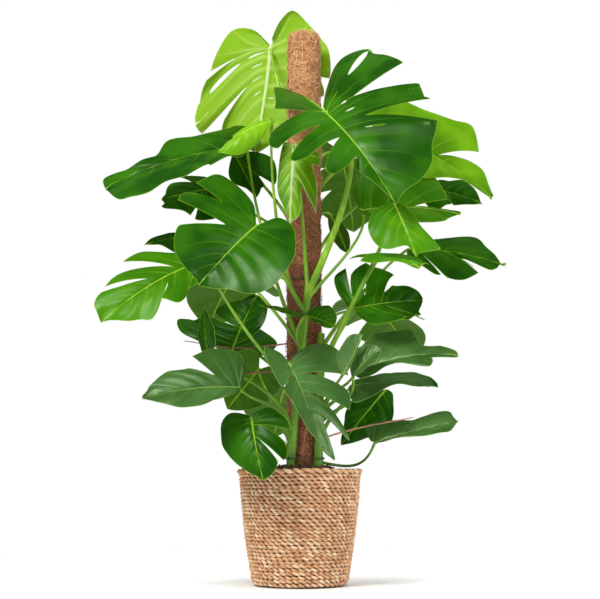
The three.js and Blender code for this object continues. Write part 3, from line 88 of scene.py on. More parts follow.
# One entry per leaf. knot: where the petiole meets the blade. tip: the blade's point. width: across both
# halves. face: where the upper side looks, as degrees to the right of the viewer and degrees above level.
# stem, start: the stem that the petiole leaves, and at what height. petiole: its radius at the stem.
# via: how far the petiole's last stretch is pushed aside. swing: the two points that draw the petiole's
# curve, in place of the usual ones. light: the blade shows its pale green side.
# Degrees: bend is the droop along the midrib, roll the droop of each half, fold how far both halves rise
# from the midrib, twist the turn from knot to tip. heart lengthens the lobes behind the knot, full rounds
# the blade towards its tip, lean carries the edge of each half forward, and wave ripples the margin.
# edges: the outline of the plus and the minus half from behind the knot to the tip, in half widths and
# lengths, in place of the plain heart shape.
# plus, minus: the cuts of each half, as place along the edge from 0 behind the knot to 1 at the tip, where
# the cut starts from 0 at the midrib to 1 at the edge, half its width, and where it closes again: below 1 it
# is a hole, above 1 a cut that narrows towards the edge.
LEAVES = {
    "leaf_top_left_light": {
        "knot": (-79, 120, 1389), "tip": (-119, 100, 1105), "face": (165, 11), "width": 360,
        "stem": "back", "start": 930, "via": (30, -30, -190), "light": True,
        "bend": 26, "roll": (33, 33), "fold": 7,
        "edges": [
            [
                (0.02, -0.07), (0.13, -0.24), (0.31, -0.35), (0.53, -0.25), (0.75, -0.12), (0.95, 0.02),
                (1.01, 0.26), (0.87, 0.28), (0.94, 0.44), (0.79, 0.62), (0.53, 0.77), (0.24, 0.89),
            ],
            [
                (0.02, -0.04), (0.29, -0.17), (0.6, -0.16), (0.8, 0.03), (0.93, 0.28), (0.98, 0.53),
                (0.99, 0.77), (0.81, 0.92), (0.6, 0.84), (0.48, 0.93), (0.31, 0.97), (0.13, 1),
            ],
        ],
        "plus": [(0.545, 0.86, 0.025), (0.7, 0.44, 0.03)],
        "minus": [(0.29, 0.55, 0.024), (0.37, 0.45, 0.022, 0.86), (0.54, 0.42, 0.06)],
    },
    "leaf_left_long": {
        "knot": (-134, 0, 1081), "tip": (-473, -65, 959), "face": (-9, 50), "width": 313,
        "stem": "left", "start": 570, "swing": ((-58, -50, 681), (-120, -20, 938)),
        "bend": 27, "roll": (31, 15), "fold": 18, "twist": -4, "wave": 0.02,
        "edges": [
            [
                (0.03, -0.02), (0.49, -0.12), (0.85, -0.04), (0.77, 0.04), (0.6, 0.22), (0.52, 0.33),
                (0.67, 0.48), (0.31, 0.6), (0.29, 0.7), (0.19, 0.79), (0.2, 0.84), (0.3, 0.99),
            ],
            [
                (0.17, 0.02), (0.79, 0.13), (0.94, 0.2), (0.81, 0.24), (1.01, 0.37), (0.97, 0.39),
                (1.29, 0.56), (1.26, 0.61), (1.19, 0.69), (1.36, 0.81), (1.32, 0.91), (1.11, 0.99),
            ],
        ],
        "plus": [],
        "minus": [],
    },
    "leaf_centre_curled": {
        "knot": (-67, -150, 1102), "tip": (-193, -165, 1021), "face": (-21, 31), "width": 61,
        "stem": "left", "start": 652, "petiole": 5, "swing": ((-53, -60, 704), (-78, -105, 1017)),
        "light": True,
        "bend": 39, "roll": (52, 50), "fold": 2, "wave": 0.02,
        "edges": [
            [
                (0.23, -0.04), (1.02, -0.06), (1.81, 0.08), (2.12, 0.23), (2.33, 0.34), (2.38, 0.57),
                (0.19, 0.69), (0.11, 0.86),
            ],
            [
                (0.18, -0.04), (0.41, 0.02), (0.89, 0.16), (1.21, 0.3), (1.49, 0.44), (1.64, 0.62),
                (1.33, 0.81), (0.72, 0.94),
            ],
        ],
        "plus": [],
        "minus": [],
    },
    "leaf_front_left": {
        "knot": (-102, -235, 823), "tip": (-223, -297, 677), "face": (-2, 13), "width": 301,
        "stem": "left", "start": 648, "petiole": 5.5, "swing": ((-21, -110, 700), (-79, -190, 776)),
        "bend": 26, "roll": (13, -2), "fold": 18, "twist": 15, "wave": 0.02,
        "edges": [
            [
                (0.02, -0.02), (0.33, -0.24), (0.76, -0.3), (1.03, -0.23), (1.07, 0.09), (1.11, 0.39),
                (0.96, 0.67), (0.86, 0.76), (0.65, 0.91), (0.45, 0.96), (0.27, 0.98), (0.1, 0.99),
            ],
            [
                (0.02, -0.05), (0.09, -0.16), (0.2, -0.25), (0.49, -0.2), (0.73, -0.03), (0.92, 0.18),
                (0.97, 0.38), (0.96, 0.55), (0.85, 0.7), (0.68, 0.8), (0.44, 0.86), (0.23, 0.95),
            ],
        ],
        "plus": [(0.365, 0.55, 0.01), (0.49, 0.32, 0.045)],
        "minus": [],
    },
    "leaf_left_lower": {
        "knot": (-224, -150, 760), "tip": (-446, -239, 603), "face": (-22, 30), "width": 224,
        "stem": "left", "start": 458, "petiole": 4.9, "swing": ((-90, -95, 539), (-184, -130, 661)),
        "bend": 32, "roll": (23, 7), "fold": 7, "twist": 20,
        "edges": [
            [
                (0.1, -0.03), (0.22, 0.02), (0.28, 0.08), (0.45, 0.11), (0.8, 0.26), (0.98, 0.37),
                (0.91, 0.54), (0.78, 0.68), (0.56, 0.82), (0.57, 0.87), (0.41, 0.96), (0.2, 0.99),
            ],
            [
                (0.07, -0.02), (0.22, 0.03), (0.56, 0.14), (0.74, 0.23), (0.72, 0.28), (0.74, 0.36),
                (0.85, 0.48), (0.58, 0.57), (0.77, 0.73), (0.57, 0.79), (0.42, 0.87), (0.22, 0.94),
            ],
        ],
        "plus": [(0.54, 0.14, 0.022), (0.67, 0.27, 0.012, 1.06)],
        "minus": [(0.435, 0.54, 0.02), (0.61, 0.37, 0.03, 1.06)],
    },
    "leaf_upper_right": {
        "knot": (60, -190, 1110), "tip": (212, -308, 861), "face": (3, 26), "width": 438,
        "stem": "left", "start": 690, "petiole": 9.5, "swing": ((80, -80, 833), (198, -138, 1070)),
        "bend": 32, "roll": (46, 8), "fold": 16, "twist": -5,
        "edges": [
            [
                (0, -0.02), (0.01, -0.31), (0.08, -0.72), (0.42, -0.25), (0.69, -0.03), (0.82, 0.17),
                (0.75, 0.34), (0.56, 0.46), (0.43, 0.62), (0.21, 0.65), (0.14, 0.73), (0.08, 0.83),
            ],
            [
                (0.03, -0.07), (0.29, -0.31), (0.76, -0.64), (1.03, -0.51), (1.05, -0.09), (0.98, 0.23),
                (0.89, 0.54), (0.78, 0.67), (0.65, 0.76), (0.55, 0.87), (0.34, 0.95), (0.14, 0.97),
            ],
        ],
        "plus": [(0.285, 0.36, 0.014), (0.475, 0.26, 0.016), (0.6, 0.22, 0.028), (0.745, 0.24, 0.014)],
        "minus": [
            (0.255, 0.5, 0.013, 0.94), (0.375, 0.33, 0.016), (0.5, 0.31, 0.02), (0.58, 0.23, 0.01, 0.47),
        ],
    },
    "leaf_right_hanging": {
        "knot": (218, -235, 875), "tip": (261, -274, 746), "face": (-8, 28), "width": 176,
        "stem": "right", "start": 505, "petiole": 7.5, "swing": ((86, -178, 594), (214, -5, 814)),
        "bend": 24, "roll": (25, 24), "fold": 5, "twist": 5,
        "edges": [
            [
                (0.03, -0.03), (0.27, -0.05), (0.61, 0.01), (0.83, 0.17), (0.92, 0.34), (0.91, 0.52),
                (0.79, 0.68), (0.58, 0.77), (0.3, 0.79), (0.13, 0.81), (0.07, 0.86), (0.05, 0.94),
            ],
            [
                (0.06, 0), (0.19, 0.1), (0.3, 0.24), (0.37, 0.37), (0.41, 0.54), (0.49, 0.7), (0.54, 0.76),
                (0.66, 0.92), (0.69, 1), (0.37, 1), (0.24, 0.99), (0.1, 0.98),
            ],
        ],
        "plus": [],
        "minus": [],
    },
    "leaf_right_fingers": {
        "knot": (152, -95, 895), "tip": (386, -85, 887), "face": (10, 33), "width": 199,
        "stem": "left", "start": 676, "petiole": 4.4, "swing": ((58, -72, 739), (175, -80, 826)),
        "bend": 30, "roll": (26, 21), "fold": 10, "twist": -2,
        "edges": [
            [
                (0.04, -0.02), (0.26, 0.05), (0.61, 0.21), (0.67, 0.32), (0.54, 0.49), (0.56, 0.6),
                (0.48, 0.83), (0.2, 0.91),
            ],
            [
                (0.06, -0.04), (0.46, -0.07), (0.89, -0.1), (1.28, -0.02), (1.5, 0.07), (1.59, 0.27),
                (1.57, 0.52), (1.26, 0.74), (0.48, 0.87), (0.11, 0.89), (0.07, 0.93), (0.03, 1),
            ],
        ],
        "plus": [(0.79, 0.08, 0.02)],
        "minus": [(0.715, 0.09, 0.022)],
    },
    "leaf_right_back_light": {
        "knot": (220, 60, 1132), "tip": (481, 17, 955), "face": (1, 32), "width": 332,
        "stem": "back", "start": 860, "light": True,
        "bend": 36, "roll": (27, 8), "fold": 12, "twist": 26,
        "edges": [
            [
                (0.11, -0.02), (0.27, 0.03), (0.67, 0.16), (0.88, 0.34), (0.75, 0.5), (0.52, 0.61),
                (0.42, 0.69), (0.12, 0.8),
            ],
            [
                (0.04, -0.09), (0.16, -0.17), (0.35, -0.31), (0.48, -0.15), (0.78, -0.15), (0.76, 0.14),
                (0.83, 0.38), (1, 0.54), (0.6, 0.72), (0.49, 0.7), (0.39, 0.82), (0.17, 0.92),
            ],
        ],
        "plus": [],
        "minus": [(0.69, 0.08, 0.03)],
    },
    "leaf_right_back_dark": {
        "knot": (327, 110, 1001), "tip": (470, 97, 958), "face": (14, 36), "width": 150,
        "stem": "back", "start": 746, "swing": ((65, 115, 879), (152, 115, 1026)),
        "bend": 30, "roll": (25, 21), "fold": 8, "twist": -2,
        "edges": [
            [
                (0.21, 0), (0.7, 0.05), (1.03, 0.23), (0.99, 0.37), (0.79, 0.45), (0.61, 0.59),
                (0.43, 0.76), (0.23, 0.9),
            ],
            [
                (0.18, 0), (0.4, 0.12), (0.61, 0.25), (0.67, 0.4), (0.8, 0.52), (0.96, 0.63), (0.71, 0.75),
                (0.38, 0.88),
            ],
        ],
        "plus": [(0.6, 0.58, 0.02)],
        "minus": [],
    },
    "leaf_right_low_wide": {
        "knot": (269, -40, 810), "tip": (492, -87, 759), "face": (6, 52), "width": 239,
        "stem": "right", "start": 558, "swing": ((92, -45, 632), (210, -30, 779)),
        "bend": 24, "roll": (35, 30), "fold": 4, "twist": -14,
        "edges": [
            [
                (0.21, 0), (0.44, 0.03), (0.64, 0.1), (0.59, 0.14), (0.88, 0.37), (0.81, 0.52),
                (0.69, 0.69), (0.37, 0.83), (0.16, 0.58), (0.27, 0.86), (0.15, 0.94), (0.06, 0.96),
            ],
            [
                (0.15, 0.02), (0.29, 0.09), (0.65, 0.28), (0.79, 0.45), (0.82, 0.64), (0.51, 0.76),
                (0.25, 0.85), (0.09, 0.94),
            ],
        ],
        "plus": [(0.395, 0.36, 0.03), (0.575, 0.33, 0.03)],
        "minus": [],
    },
    "leaf_right_under": {
        "knot": (192, -150, 774), "tip": (266, -285, 716), "face": (15, 75), "width": 180,
        "stem": "right", "start": 492, "petiole": 4.6, "swing": ((86, -95, 596), (162, -125, 729)),
        "bend": 30, "roll": (26, 26), "fold": 2,
        "plus": [(0.45, 0.5, 0.04)],
        "minus": [(0.45, 0.5, 0.04)],
    },
    "leaf_right_slit": {
        "knot": (133, -92, 654), "tip": (294, -65, 676), "face": (-3, 38), "width": 232,
        "stem": "right", "start": 470, "petiole": 4.6, "swing": ((60, -60, 552), (108, -70, 616)),
        "bend": 19, "roll": (2, 10), "fold": 19, "twist": 2,
        "edges": [
            [
                (0.11, -0.01), (0.33, -0.01), (0.62, 0.05), (0.88, 0.14), (1.03, 0.29), (1.03, 0.47),
                (0.92, 0.61), (0.81, 0.69), (0.79, 0.79), (0.69, 0.79), (0.47, 0.85), (0.21, 0.95),
            ],
            [
                (0.02, -0.05), (0.17, -0.11), (0.42, -0.18), (0.83, -0.16), (0.99, 0.03), (1, 0.2),
                (0.96, 0.42), (0.69, 0.65), (0.52, 0.68), (0.42, 0.81), (0.3, 0.9), (0.17, 0.99),
            ],
        ],
        "plus": [(0.49, 0.08, 0.03, 1.06), (0.63, 0.2, 0.016, 0.64)],
        "minus": [(0.355, 0.33, 0.02), (0.48, 0.24, 0.016, 0.58), (0.63, 0.43, 0.03, 1.06)],
    },
    "leaf_low_right_wavy": {
        "knot": (129, -140, 496), "tip": (361, -178, 531), "face": (0, 50), "width": 262,
        "stem": "right", "start": 400,
        "bend": 38, "roll": (18, 13), "fold": 13, "twist": 9, "wave": 0.03,
        "edges": [
            [
                (0.05, -0.01), (0.38, 0.06), (0.47, 0.13), (0.39, 0.21), (0.25, 0.3), (0.3, 0.42),
                (0.35, 0.5), (0.43, 0.59), (0.57, 0.72), (0.41, 0.76), (0.27, 0.76), (0.12, 0.94),
            ],
            [
                (0.06, -0.02), (0.27, 0), (0.44, 0.05), (0.59, 0.12), (0.87, 0.23), (0.87, 0.33),
                (0.8, 0.46), (0.69, 0.6), (0.29, 0.68), (0.29, 0.86), (0.22, 0.86), (0.09, 0.99),
            ],
        ],
        "plus": [],
        "minus": [],
    },
    "leaf_low_right_upright": {
        "knot": (99, -215, 486), "tip": (141, -223, 572), "face": (15, 22), "width": 70,
        "stem": "right", "start": 370,
        "bend": 33, "roll": (20, 30), "fold": 16,
        "edges": [
            [
                (0.08, 0.01), (0.19, 0.07), (0.17, 0.28), (0.15, 0.45), (0.12, 0.63), (0.09, 0.79),
                (0.07, 0.88), (0.04, 0.96),
            ],
            [
                (0.08, 0.01), (0.51, 0.11), (0.94, 0.32), (0.93, 0.45), (0.89, 0.63), (0.8, 0.81),
                (0.56, 0.92), (0.27, 0.98),
            ],
        ],
        "plus": [],
        "minus": [],
    },
    "leaf_low_right_mid": {
        "knot": (122, -75, 470), "tip": (319, -125, 461), "face": (-5, 58), "width": 171,
        "stem": "right", "start": 385,
        "bend": 24, "roll": (20, 24), "fold": 6,
        "edges": [
            [
                (0.25, 0), (0.58, 0.03), (1.03, 0.13), (0.83, 0.28), (0.35, 0.43), (0.13, 0.59),
                (0.1, 0.73), (0.07, 0.88),
            ],
            [
                (0.12, 0), (0.33, 0.06), (0.44, 0.15), (0.51, 0.31), (0.75, 0.48), (0.85, 0.64),
                (0.56, 0.79), (0.49, 0.91),
            ],
        ],
        "plus": [],
        "minus": [(0.33, 0.78, 0.02)],
    },
    "leaf_front_centre": {
        "knot": (-23, -210, 504), "tip": (40, -280, 319), "face": (40, 36), "width": 278,
        "stem": "left", "start": 425, "swing": ((-21, -100, 434), (-37, -165, 470)),
        "bend": 22, "roll": (15, 7), "fold": 22, "twist": 13,
        "edges": [
            [
                (0.02, 0.06), (0.01, -0.2), (0.4, -0.23), (0.76, 0.07), (0.86, 0.29), (0.84, 0.46),
                (0.66, 0.5), (0.6, 0.59), (0.52, 0.7), (0.36, 0.8), (0.3, 0.9), (0.17, 0.98),
            ],
            [
                (0.02, -0.05), (0.22, -0.14), (0.56, -0.22), (0.83, -0.18), (0.95, 0.01), (0.87, 0.27),
                (0.92, 0.42), (0.67, 0.69), (0.56, 0.67), (0.65, 0.97), (0.23, 0.67), (0.26, 1.15),
            ],
        ],
        "plus": [(0.47, 0.08, 0.03)],
        "minus": [(0.445, 0.13, 0.025), (0.6, 0.15, 0.035)],
    },
    "leaf_front_low": {
        "knot": (-110, -190, 382), "tip": (-82, -239, 248), "face": (-16, 24), "width": 172,
        "stem": "left", "start": 320,
        "bend": 33, "roll": (37, 28), "fold": 4, "twist": -3,
        "edges": [
            [
                (0.02, -0.06), (0.25, -0.2), (0.62, -0.31), (0.91, -0.2), (0.99, 0.04), (0.99, 0.22),
                (0.82, 0.46), (0.62, 0.65), (0.44, 0.77), (0.3, 0.86), (0.17, 0.92), (0.06, 0.97),
            ],
            [
                (0.02, -0.04), (0.19, -0.16), (0.51, -0.2), (0.78, -0.01), (0.98, 0.2), (0.99, 0.42),
                (0.77, 0.74), (0.59, 0.86), (0.42, 0.93), (0.27, 0.97), (0.16, 0.99), (0.07, 1.01),
            ],
        ],
        "plus": [],
        "minus": [(0.43, 0.2, 0.03), (0.575, 0.23, 0.026)],
    },
    "leaf_left_low": {
        "knot": (-139, -200, 455), "tip": (-351, -226, 429), "face": (-11, 42), "width": 212,
        "stem": "left", "start": 350,
        "bend": 26, "roll": (14, 19), "fold": 19, "twist": 2,
        "edges": [
            [
                (0.06, -0.03), (0.43, -0.08), (0.86, -0.06), (1.06, 0.08), (1.01, 0.26), (0.71, 0.5),
                (0.61, 0.58), (0.6, 0.74), (0.48, 0.8), (0.29, 0.88), (0.19, 0.93), (0.12, 0.96),
            ],
            [
                (0.02, -0.02), (0.31, 0.06), (0.55, 0.22), (0.54, 0.3), (0.76, 0.45), (0.73, 0.61),
                (0.49, 0.76), (0.34, 0.88),
            ],
        ],
        "plus": [(0.435, 0.4, 0.035)],
        "minus": [],
    },
    "leaf_left_mid_dark": {
        "knot": (-171, 62, 570), "tip": (-111, 78, 709), "face": (-18, 6), "width": 299,
        "stem": "left", "start": 440, "swing": ((-56, -22, 522), (-113, 135, 590)),
        "bend": 25, "roll": (17, 18), "fold": 16, "twist": 18,
        "edges": [
            [
                (0.02, -0.01), (0.18, -0.04), (0.39, -0.04), (0.72, 0.17), (0.82, 0.34), (0.5, 0.44),
                (0.41, 0.44), (0.44, 0.58), (0.41, 0.76), (0.38, 0.85), (0.31, 0.89), (0.14, 0.97),
            ],
            [
                (0.02, -0.04), (0.17, -0.04), (0.32, -0.04), (0.63, -0.03), (0.99, 0.02), (1.16, 0.19),
                (0.88, 0.27), (0.71, 0.37), (0.67, 0.49), (0.64, 0.65), (0.4, 0.78), (0.18, 0.85),
            ],
        ],
        "plus": [(0.21, 0.39, 0.01, 0.61), (0.44, 0.6, 0.02)],
        "minus": [(0.48, 0.4, 0.014, 0.48), (0.65, 0.17, 0.04)],
    },
    "leaf_left_small": {
        "knot": (-217, -110, 535), "tip": (-228, -103, 650), "face": (-47, 15), "width": 81,
        "stem": "left", "start": 350,
        "bend": 13, "roll": (23, 20), "fold": 27, "twist": -2,
        "edges": [
            [
                (0.2, -0.01), (0.61, 0.02), (1.1, 0.19), (1.2, 0.33), (1.14, 0.47), (1.01, 0.61),
                (0.78, 0.77), (0.41, 0.91),
            ],
            [
                (0.08, -0.04), (0.13, 0.02), (0.38, 0.17), (0.45, 0.3), (0.5, 0.44), (0.48, 0.58),
                (0.31, 0.73), (0.13, 0.89),
            ],
        ],
        "plus": [],
        "minus": [],
    },
    "leaf_left_low_light": {
        "knot": (-102, -16, 513), "tip": (-173, -44, 418), "face": (172, 19), "width": 140,
        "stem": "left", "start": 335, "petiole": 4.2, "swing": ((-47, -75, 400), (-91, -65, 472)),
        "bend": 24, "roll": (24, 24), "fold": 4,
        "plus": [],
        "minus": [],
    },
    "leaf_low_right_long": {
        "knot": (176, -90, 335), "tip": (366, -120, 381), "face": (-6, 60), "width": 170,
        "stem": "right", "start": 291, "petiole": 3.6, "swing": ((118, 45, 277), (158, 0, 270)),
        "bend": 10, "roll": (5, 27), "fold": 19, "twist": -1, "wave": 0.03,
        "edges": [
            [
                (0.07, -0.01), (0.19, 0.07), (0.35, 0.2), (0.61, 0.42), (0.8, 0.56), (1.05, 0.72),
                (1.03, 0.85), (0.71, 0.93),
            ],
            [
                (0.09, -0.04), (0.33, -0.07), (0.85, -0.09), (1.1, 0.05), (0.87, 0.18), (0.63, 0.32),
                (0.44, 0.48), (0.54, 0.6), (0.58, 0.72), (0.53, 0.86), (0.43, 0.95), (0.28, 0.97),
            ],
        ],
        "plus": [],
        "minus": [],
    },
    "leaf_low_right_back": {
        "knot": (210, 40, 466), "tip": (102, 21, 334), "face": (-2, 12), "width": 191,
        "stem": "back", "start": 330,
        "bend": 24, "roll": (24, 24), "fold": 4, "twist": -1,
        "edges": [
            [
                (0.04, 0), (0.25, 0.15), (0.45, 0.32), (0.48, 0.49), (0.43, 0.61), (0.31, 0.72),
                (0.18, 0.86), (0.09, 0.95),
            ],
            [
                (0.02, -0.04), (0.2, -0.05), (0.38, 0.07), (0.6, 0.23), (0.66, 0.4), (0.58, 0.55),
                (0.4, 0.72), (0.21, 0.88),
            ],
        ],
        "plus": [],
        "minus": [],
    },
    "leaf_low_right_fold": {
        "knot": (120, -200, 479), "tip": (181, -223, 539), "face": (-2, 46), "width": 87,
        "stem": "right", "start": 330,
        "bend": 32, "roll": (23, 24), "fold": 15, "twist": 1,
        "edges": [
            [
                (0.17, 0.04), (0.21, 0.1), (0.44, 0.31), (0.48, 0.45), (0.58, 0.61), (0.65, 0.75),
                (0.58, 0.86), (0.33, 0.95),
            ],
            [
                (0.14, 0), (0.46, 0.11), (0.95, 0.31), (1.09, 0.46), (1.02, 0.63), (0.83, 0.8),
                (0.55, 0.92), (0.26, 0.99),
            ],
        ],
        "plus": [],
        "minus": [],
    },
    "leaf_pole_right_small": {
        "knot": (14, -150, 627), "tip": (78, -168, 600), "face": (6, 44), "width": 112,
        "stem": "left", "start": 560, "petiole": 4.2, "swing": ((-12, -85, 578), (-14, -125, 606)),
        "bend": 29, "roll": (43, 42), "fold": 22, "twist": -1,
        "edges": [
            [
                (0.19, 0.08), (0.2, 0.19), (0.38, 0.44), (0.43, 0.55), (0.38, 0.65), (0.45, 0.76),
                (0.44, 0.89), (0.26, 0.98),
            ],
            [
                (0.13, -0.03), (0.3, 0.03), (0.66, 0.15), (0.91, 0.28), (1.04, 0.43), (0.9, 0.65),
                (0.6, 0.87), (0.26, 0.98),
            ],
        ],
        "plus": [],
        "minus": [],
    },
    "leaf_centre_new": {
        "knot": (-15, -96, 1055), "tip": (-24, -125, 854), "face": (-11, 1), "width": 122,
        "stem": "left", "start": 700, "petiole": 5.5, "swing": ((12, -78, 769), (7, -90, 921)),
        "light": True,
        "bend": 17, "roll": (24, 23), "fold": 4, "twist": -1,
        "edges": [
            [
                (0.06, -0.02), (0.4, -0.06), (0.52, 0.11), (0.57, 0.31), (0.57, 0.48), (0.53, 0.63),
                (0.29, 0.79), (0.1, 0.92),
            ],
            [
                (0.05, -0.04), (0.3, -0.05), (0.67, -0.06), (0.95, 0.08), (1.13, 0.17), (1.11, 0.38),
                (1.03, 0.73), (1, 0.9), (0.45, 0.55), (0.41, 0.84), (0.29, 0.93), (0.13, 0.97),
            ],
        ],
        "plus": [],
        "minus": [(0.42, 0.69, 0.035), (0.585, 0.53, 0.03)],
    },
    "leaf_right_olive": {
        "knot": (80, 75, 922), "tip": (120, 69, 823), "face": (163, 19), "width": 66,
        "stem": "back", "start": 745,
        "bend": 24, "roll": (30, 30), "fold": 4, "twist": -1,
        "edges": [
            [
                (0.17, -0.02), (0.2, 0.03), (0.44, 0.16), (0.62, 0.41), (0.71, 0.53), (0.71, 0.63),
                (0.6, 0.77), (0.34, 0.91),
            ],
            [
                (0.15, -0.04), (0.29, 0), (0.59, 0.23), (0.71, 0.46), (0.67, 0.6), (0.57, 0.72),
                (0.43, 0.84), (0.22, 0.94),
            ],
        ],
        "plus": [],
        "minus": [],
    },
    "leaf_left_mid_tip": {
        "knot": (-236, 30, 858), "tip": (-387, 3, 829), "face": (-5, 38), "width": 103,
        "stem": "left", "start": 560, "petiole": 4.6, "swing": ((-68, -40, 677), (-179, -5, 784)),
        "bend": 23, "roll": (25, 26), "fold": 2, "twist": -1,
        "edges": [
            [
                (0.17, -0.03), (0.29, 0.01), (0.54, 0.2), (0.5, 0.38), (0.47, 0.53), (0.48, 0.65),
                (0.5, 0.76), (0.31, 0.89),
            ],
            [
                (0.21, -0.01), (0.46, 0.03), (0.94, 0.19), (1.19, 0.34), (1.12, 0.48), (0.8, 0.63),
                (0.28, 0.78), (0.11, 0.91),
            ],
        ],
        "plus": [],
        "minus": [],
    },
    "leaf_left_behind": {
        "knot": (-217, 60, 988), "tip": (-347, 22, 948), "face": (-10, 31), "width": 179,
        "stem": "back", "start": 770,
        "bend": 27, "roll": (31, 30), "fold": 3, "twist": 3,
        "edges": [
            [
                (0.12, -0.04), (0.32, -0.02), (0.66, 0.04), (0.8, 0.19), (0.8, 0.67), (0.56, 0.83),
                (0.2, 0.92), (0.03, 1),
            ],
            [
                (0.09, -0.02), (0.37, -0.05), (0.79, -0.02), (1.09, 0.15), (1.04, 0.6), (0.63, 0.76),
                (0.3, 1.07), (0.07, 1.01),
            ],
        ],
        "plus": [(0.5, 0.47, 0.03)],
        "minus": [(0.54, 0.59, 0.03), (0.8, 0.34, 0.02)],
    },
    "leaf_left_inner": {
        "knot": (9, -110, 631), "tip": (-94, -131, 654), "face": (-9, 64), "width": 58,
        "stem": "left", "start": 580, "petiole": 4.2, "swing": ((-2, -80, 591), (-7, -100, 610)),
        "bend": 21, "roll": (28, 30), "fold": 5, "twist": -3,
        "edges": [
            [
                (0.21, 0.01), (0.44, 0.07), (0.85, 0.28), (1, 0.43), (0.96, 0.55), (0.8, 0.64),
                (0.54, 0.76), (0.25, 0.9),
            ],
            [
                (0.46, 0.02), (0.52, 0.08), (0.79, 0.28), (0.85, 0.39), (0.78, 0.49), (0.74, 0.58),
                (0.6, 0.73), (0.33, 0.88),
            ],
        ],
        "plus": [],
        "minus": [],
    },
    "leaf_centre_dark": {
        "knot": (-171, 55, 1082), "tip": (-111, 35, 961), "face": (0, 8), "width": 153,
        "stem": "back", "start": 800,
        "bend": 20, "roll": (24, 22), "fold": 4, "twist": -2,
        "edges": [
            [
                (0.06, 0.01), (0.23, 0.14), (0.5, 0.38), (0.49, 0.56), (0.28, 0.72), (0.17, 0.8),
                (0.1, 0.89), (0.05, 0.97),
            ],
            [
                (0.08, -0.01), (0.47, 0.09), (0.93, 0.27), (1.11, 0.53), (0.8, 0.93), (0.32, 0.91),
                (0.19, 0.95), (0.08, 0.99),
            ],
        ],
        "plus": [],
        "minus": [(0.55, 0.63, 0.03)],
    },
    "leaf_back_high": {
        "knot": (112, 250, 1142), "tip": (152, 400, 954), "face": (170, 43), "width": 320,
        "stem": "back", "start": 960,
        "bend": 46, "roll": (36, 36), "fold": 6,
        "plus": [(0.36, 0.36, 0.05), (0.55, 0.34, 0.06)],
        "minus": [(0.34, 0.4, 0.05), (0.52, 0.34, 0.05), (0.7, 0.4, 0.04)],
    },
    "leaf_back_left": {
        "knot": (-151, 210, 812), "tip": (-251, 340, 667), "face": (210, 43), "width": 290,
        "stem": "back", "start": 665,
        "bend": 46, "roll": (36, 36), "fold": 6,
        "plus": [(0.4, 0.36, 0.05), (0.58, 0.34, 0.05)],
        "minus": [(0.42, 0.4, 0.05)],
    },
    "leaf_back_right": {
        "knot": (191, 200, 710), "tip": (301, 320, 575), "face": (140, 44), "width": 270,
        "stem": "back", "start": 560,
        "bend": 44, "roll": (36, 36), "fold": 6,
        "plus": [(0.4, 0.36, 0.05), (0.6, 0.34, 0.05)],
        "minus": [(0.38, 0.4, 0.05), (0.56, 0.36, 0.05)],
    },
    "leaf_back_low": {
        "knot": (-40, 210, 489), "tip": (-70, 330, 364), "face": (190, 45), "width": 220,
        "stem": "back", "start": 390,
        "bend": 44, "roll": (36, 36), "fold": 6,
        "plus": [(0.42, 0.4, 0.05)],
        "minus": [],
    },
}

# Small closed holes near the midrib that only the finer blades show: leaf, half, then a cut as above
PORES = [
    ("leaf_top_left_light", "minus", (0.37, 0.08, 0.032, 0.33)),
    ("leaf_top_left_light", "minus", (0.45, 0.11, 0.013, 0.27)),
    ("leaf_top_left_light", "minus", (0.54, 0.12, 0.018, 0.31)),
    ("leaf_top_left_light", "minus", (0.64, 0.16, 0.018, 0.33)),
    ("leaf_top_left_light", "plus", (0.545, 0.06, 0.012, 0.13)),
    ("leaf_top_left_light", "plus", (0.7, 0.04, 0.018, 0.15)),
    ("leaf_upper_right", "minus", (0.375, 0.17, 0.014, 0.25)),
    ("leaf_upper_right", "minus", (0.438, 0.15, 0.011, 0.27)),
    ("leaf_back_high", "plus", (0.45, 0.14, 0.012, 0.26)),
    ("leaf_back_high", "minus", (0.42, 0.14, 0.012, 0.26)),
]

# How side veins run: shift of their ends along the edge, and how soon they turn from straight out towards the
# edge. Those of one half turn late and then run steeply towards the tip.
PLAIN_SWEEP = (0, 0.45)
SWEEP = {("leaf_top_left_light", -1): (0.08, 0.12)}

# Leaves by finish. The pale ones are marked in their own entries, and the rest are dark and waxy.
# The first set are low leaves that face up: duller, and paler grey-green as partly painted sheen.
DULL_SHEEN_LEAVES = {
    "leaf_front_centre", "leaf_low_right_wavy", "leaf_low_right_upright", "leaf_low_right_fold",
    "leaf_low_right_mid", "leaf_low_right_long", "leaf_left_low",
}
FRESH_LEAVES = {"leaf_left_lower", "leaf_right_fingers", "leaf_right_hanging", "leaf_right_under"}
YOUNG_LEAVES = {"leaf_centre_curled", "leaf_right_back_light"}

# Aerial roots: stem, height where each leaves it, the points it then passes, radius
ROOTS = {
    "aerial_root_left": ("left", 505, [(-80, -95, 501), (-151, -140, 489)], 3.2),
    "aerial_root_right": ("right", 345, [(140, -60, 370), (262, -150, 390)], 2.4),
    "aerial_root_far_left": ("left", 578, [(-151, 25, 572), (-289, 10, 589)], 2.2),
    "aerial_root_soil": ("right", 428, [(14, -96, 364), (6, -88, 287)], 2.4),
}
# Fineness, taper and unevenness of an aerial root. waver: in millimetres. tip: how much thinner its end is.
ROOT = {"steps": 40, "sides": 9, "taper": 0.45, "uneven": 0.08, "waver": 0.35, "tip": 0.35}

# Ties: height of each, then the wires of one. slack: how far it stands off what it holds.
TIES = {"tie_low": 299, "tie_middle": 548, "tie_high": 642, "tie_top": 735}
TIE = {"radius": 1.2, "slack": 1.6, "steps": 180, "turns": 26, "sides": 6}

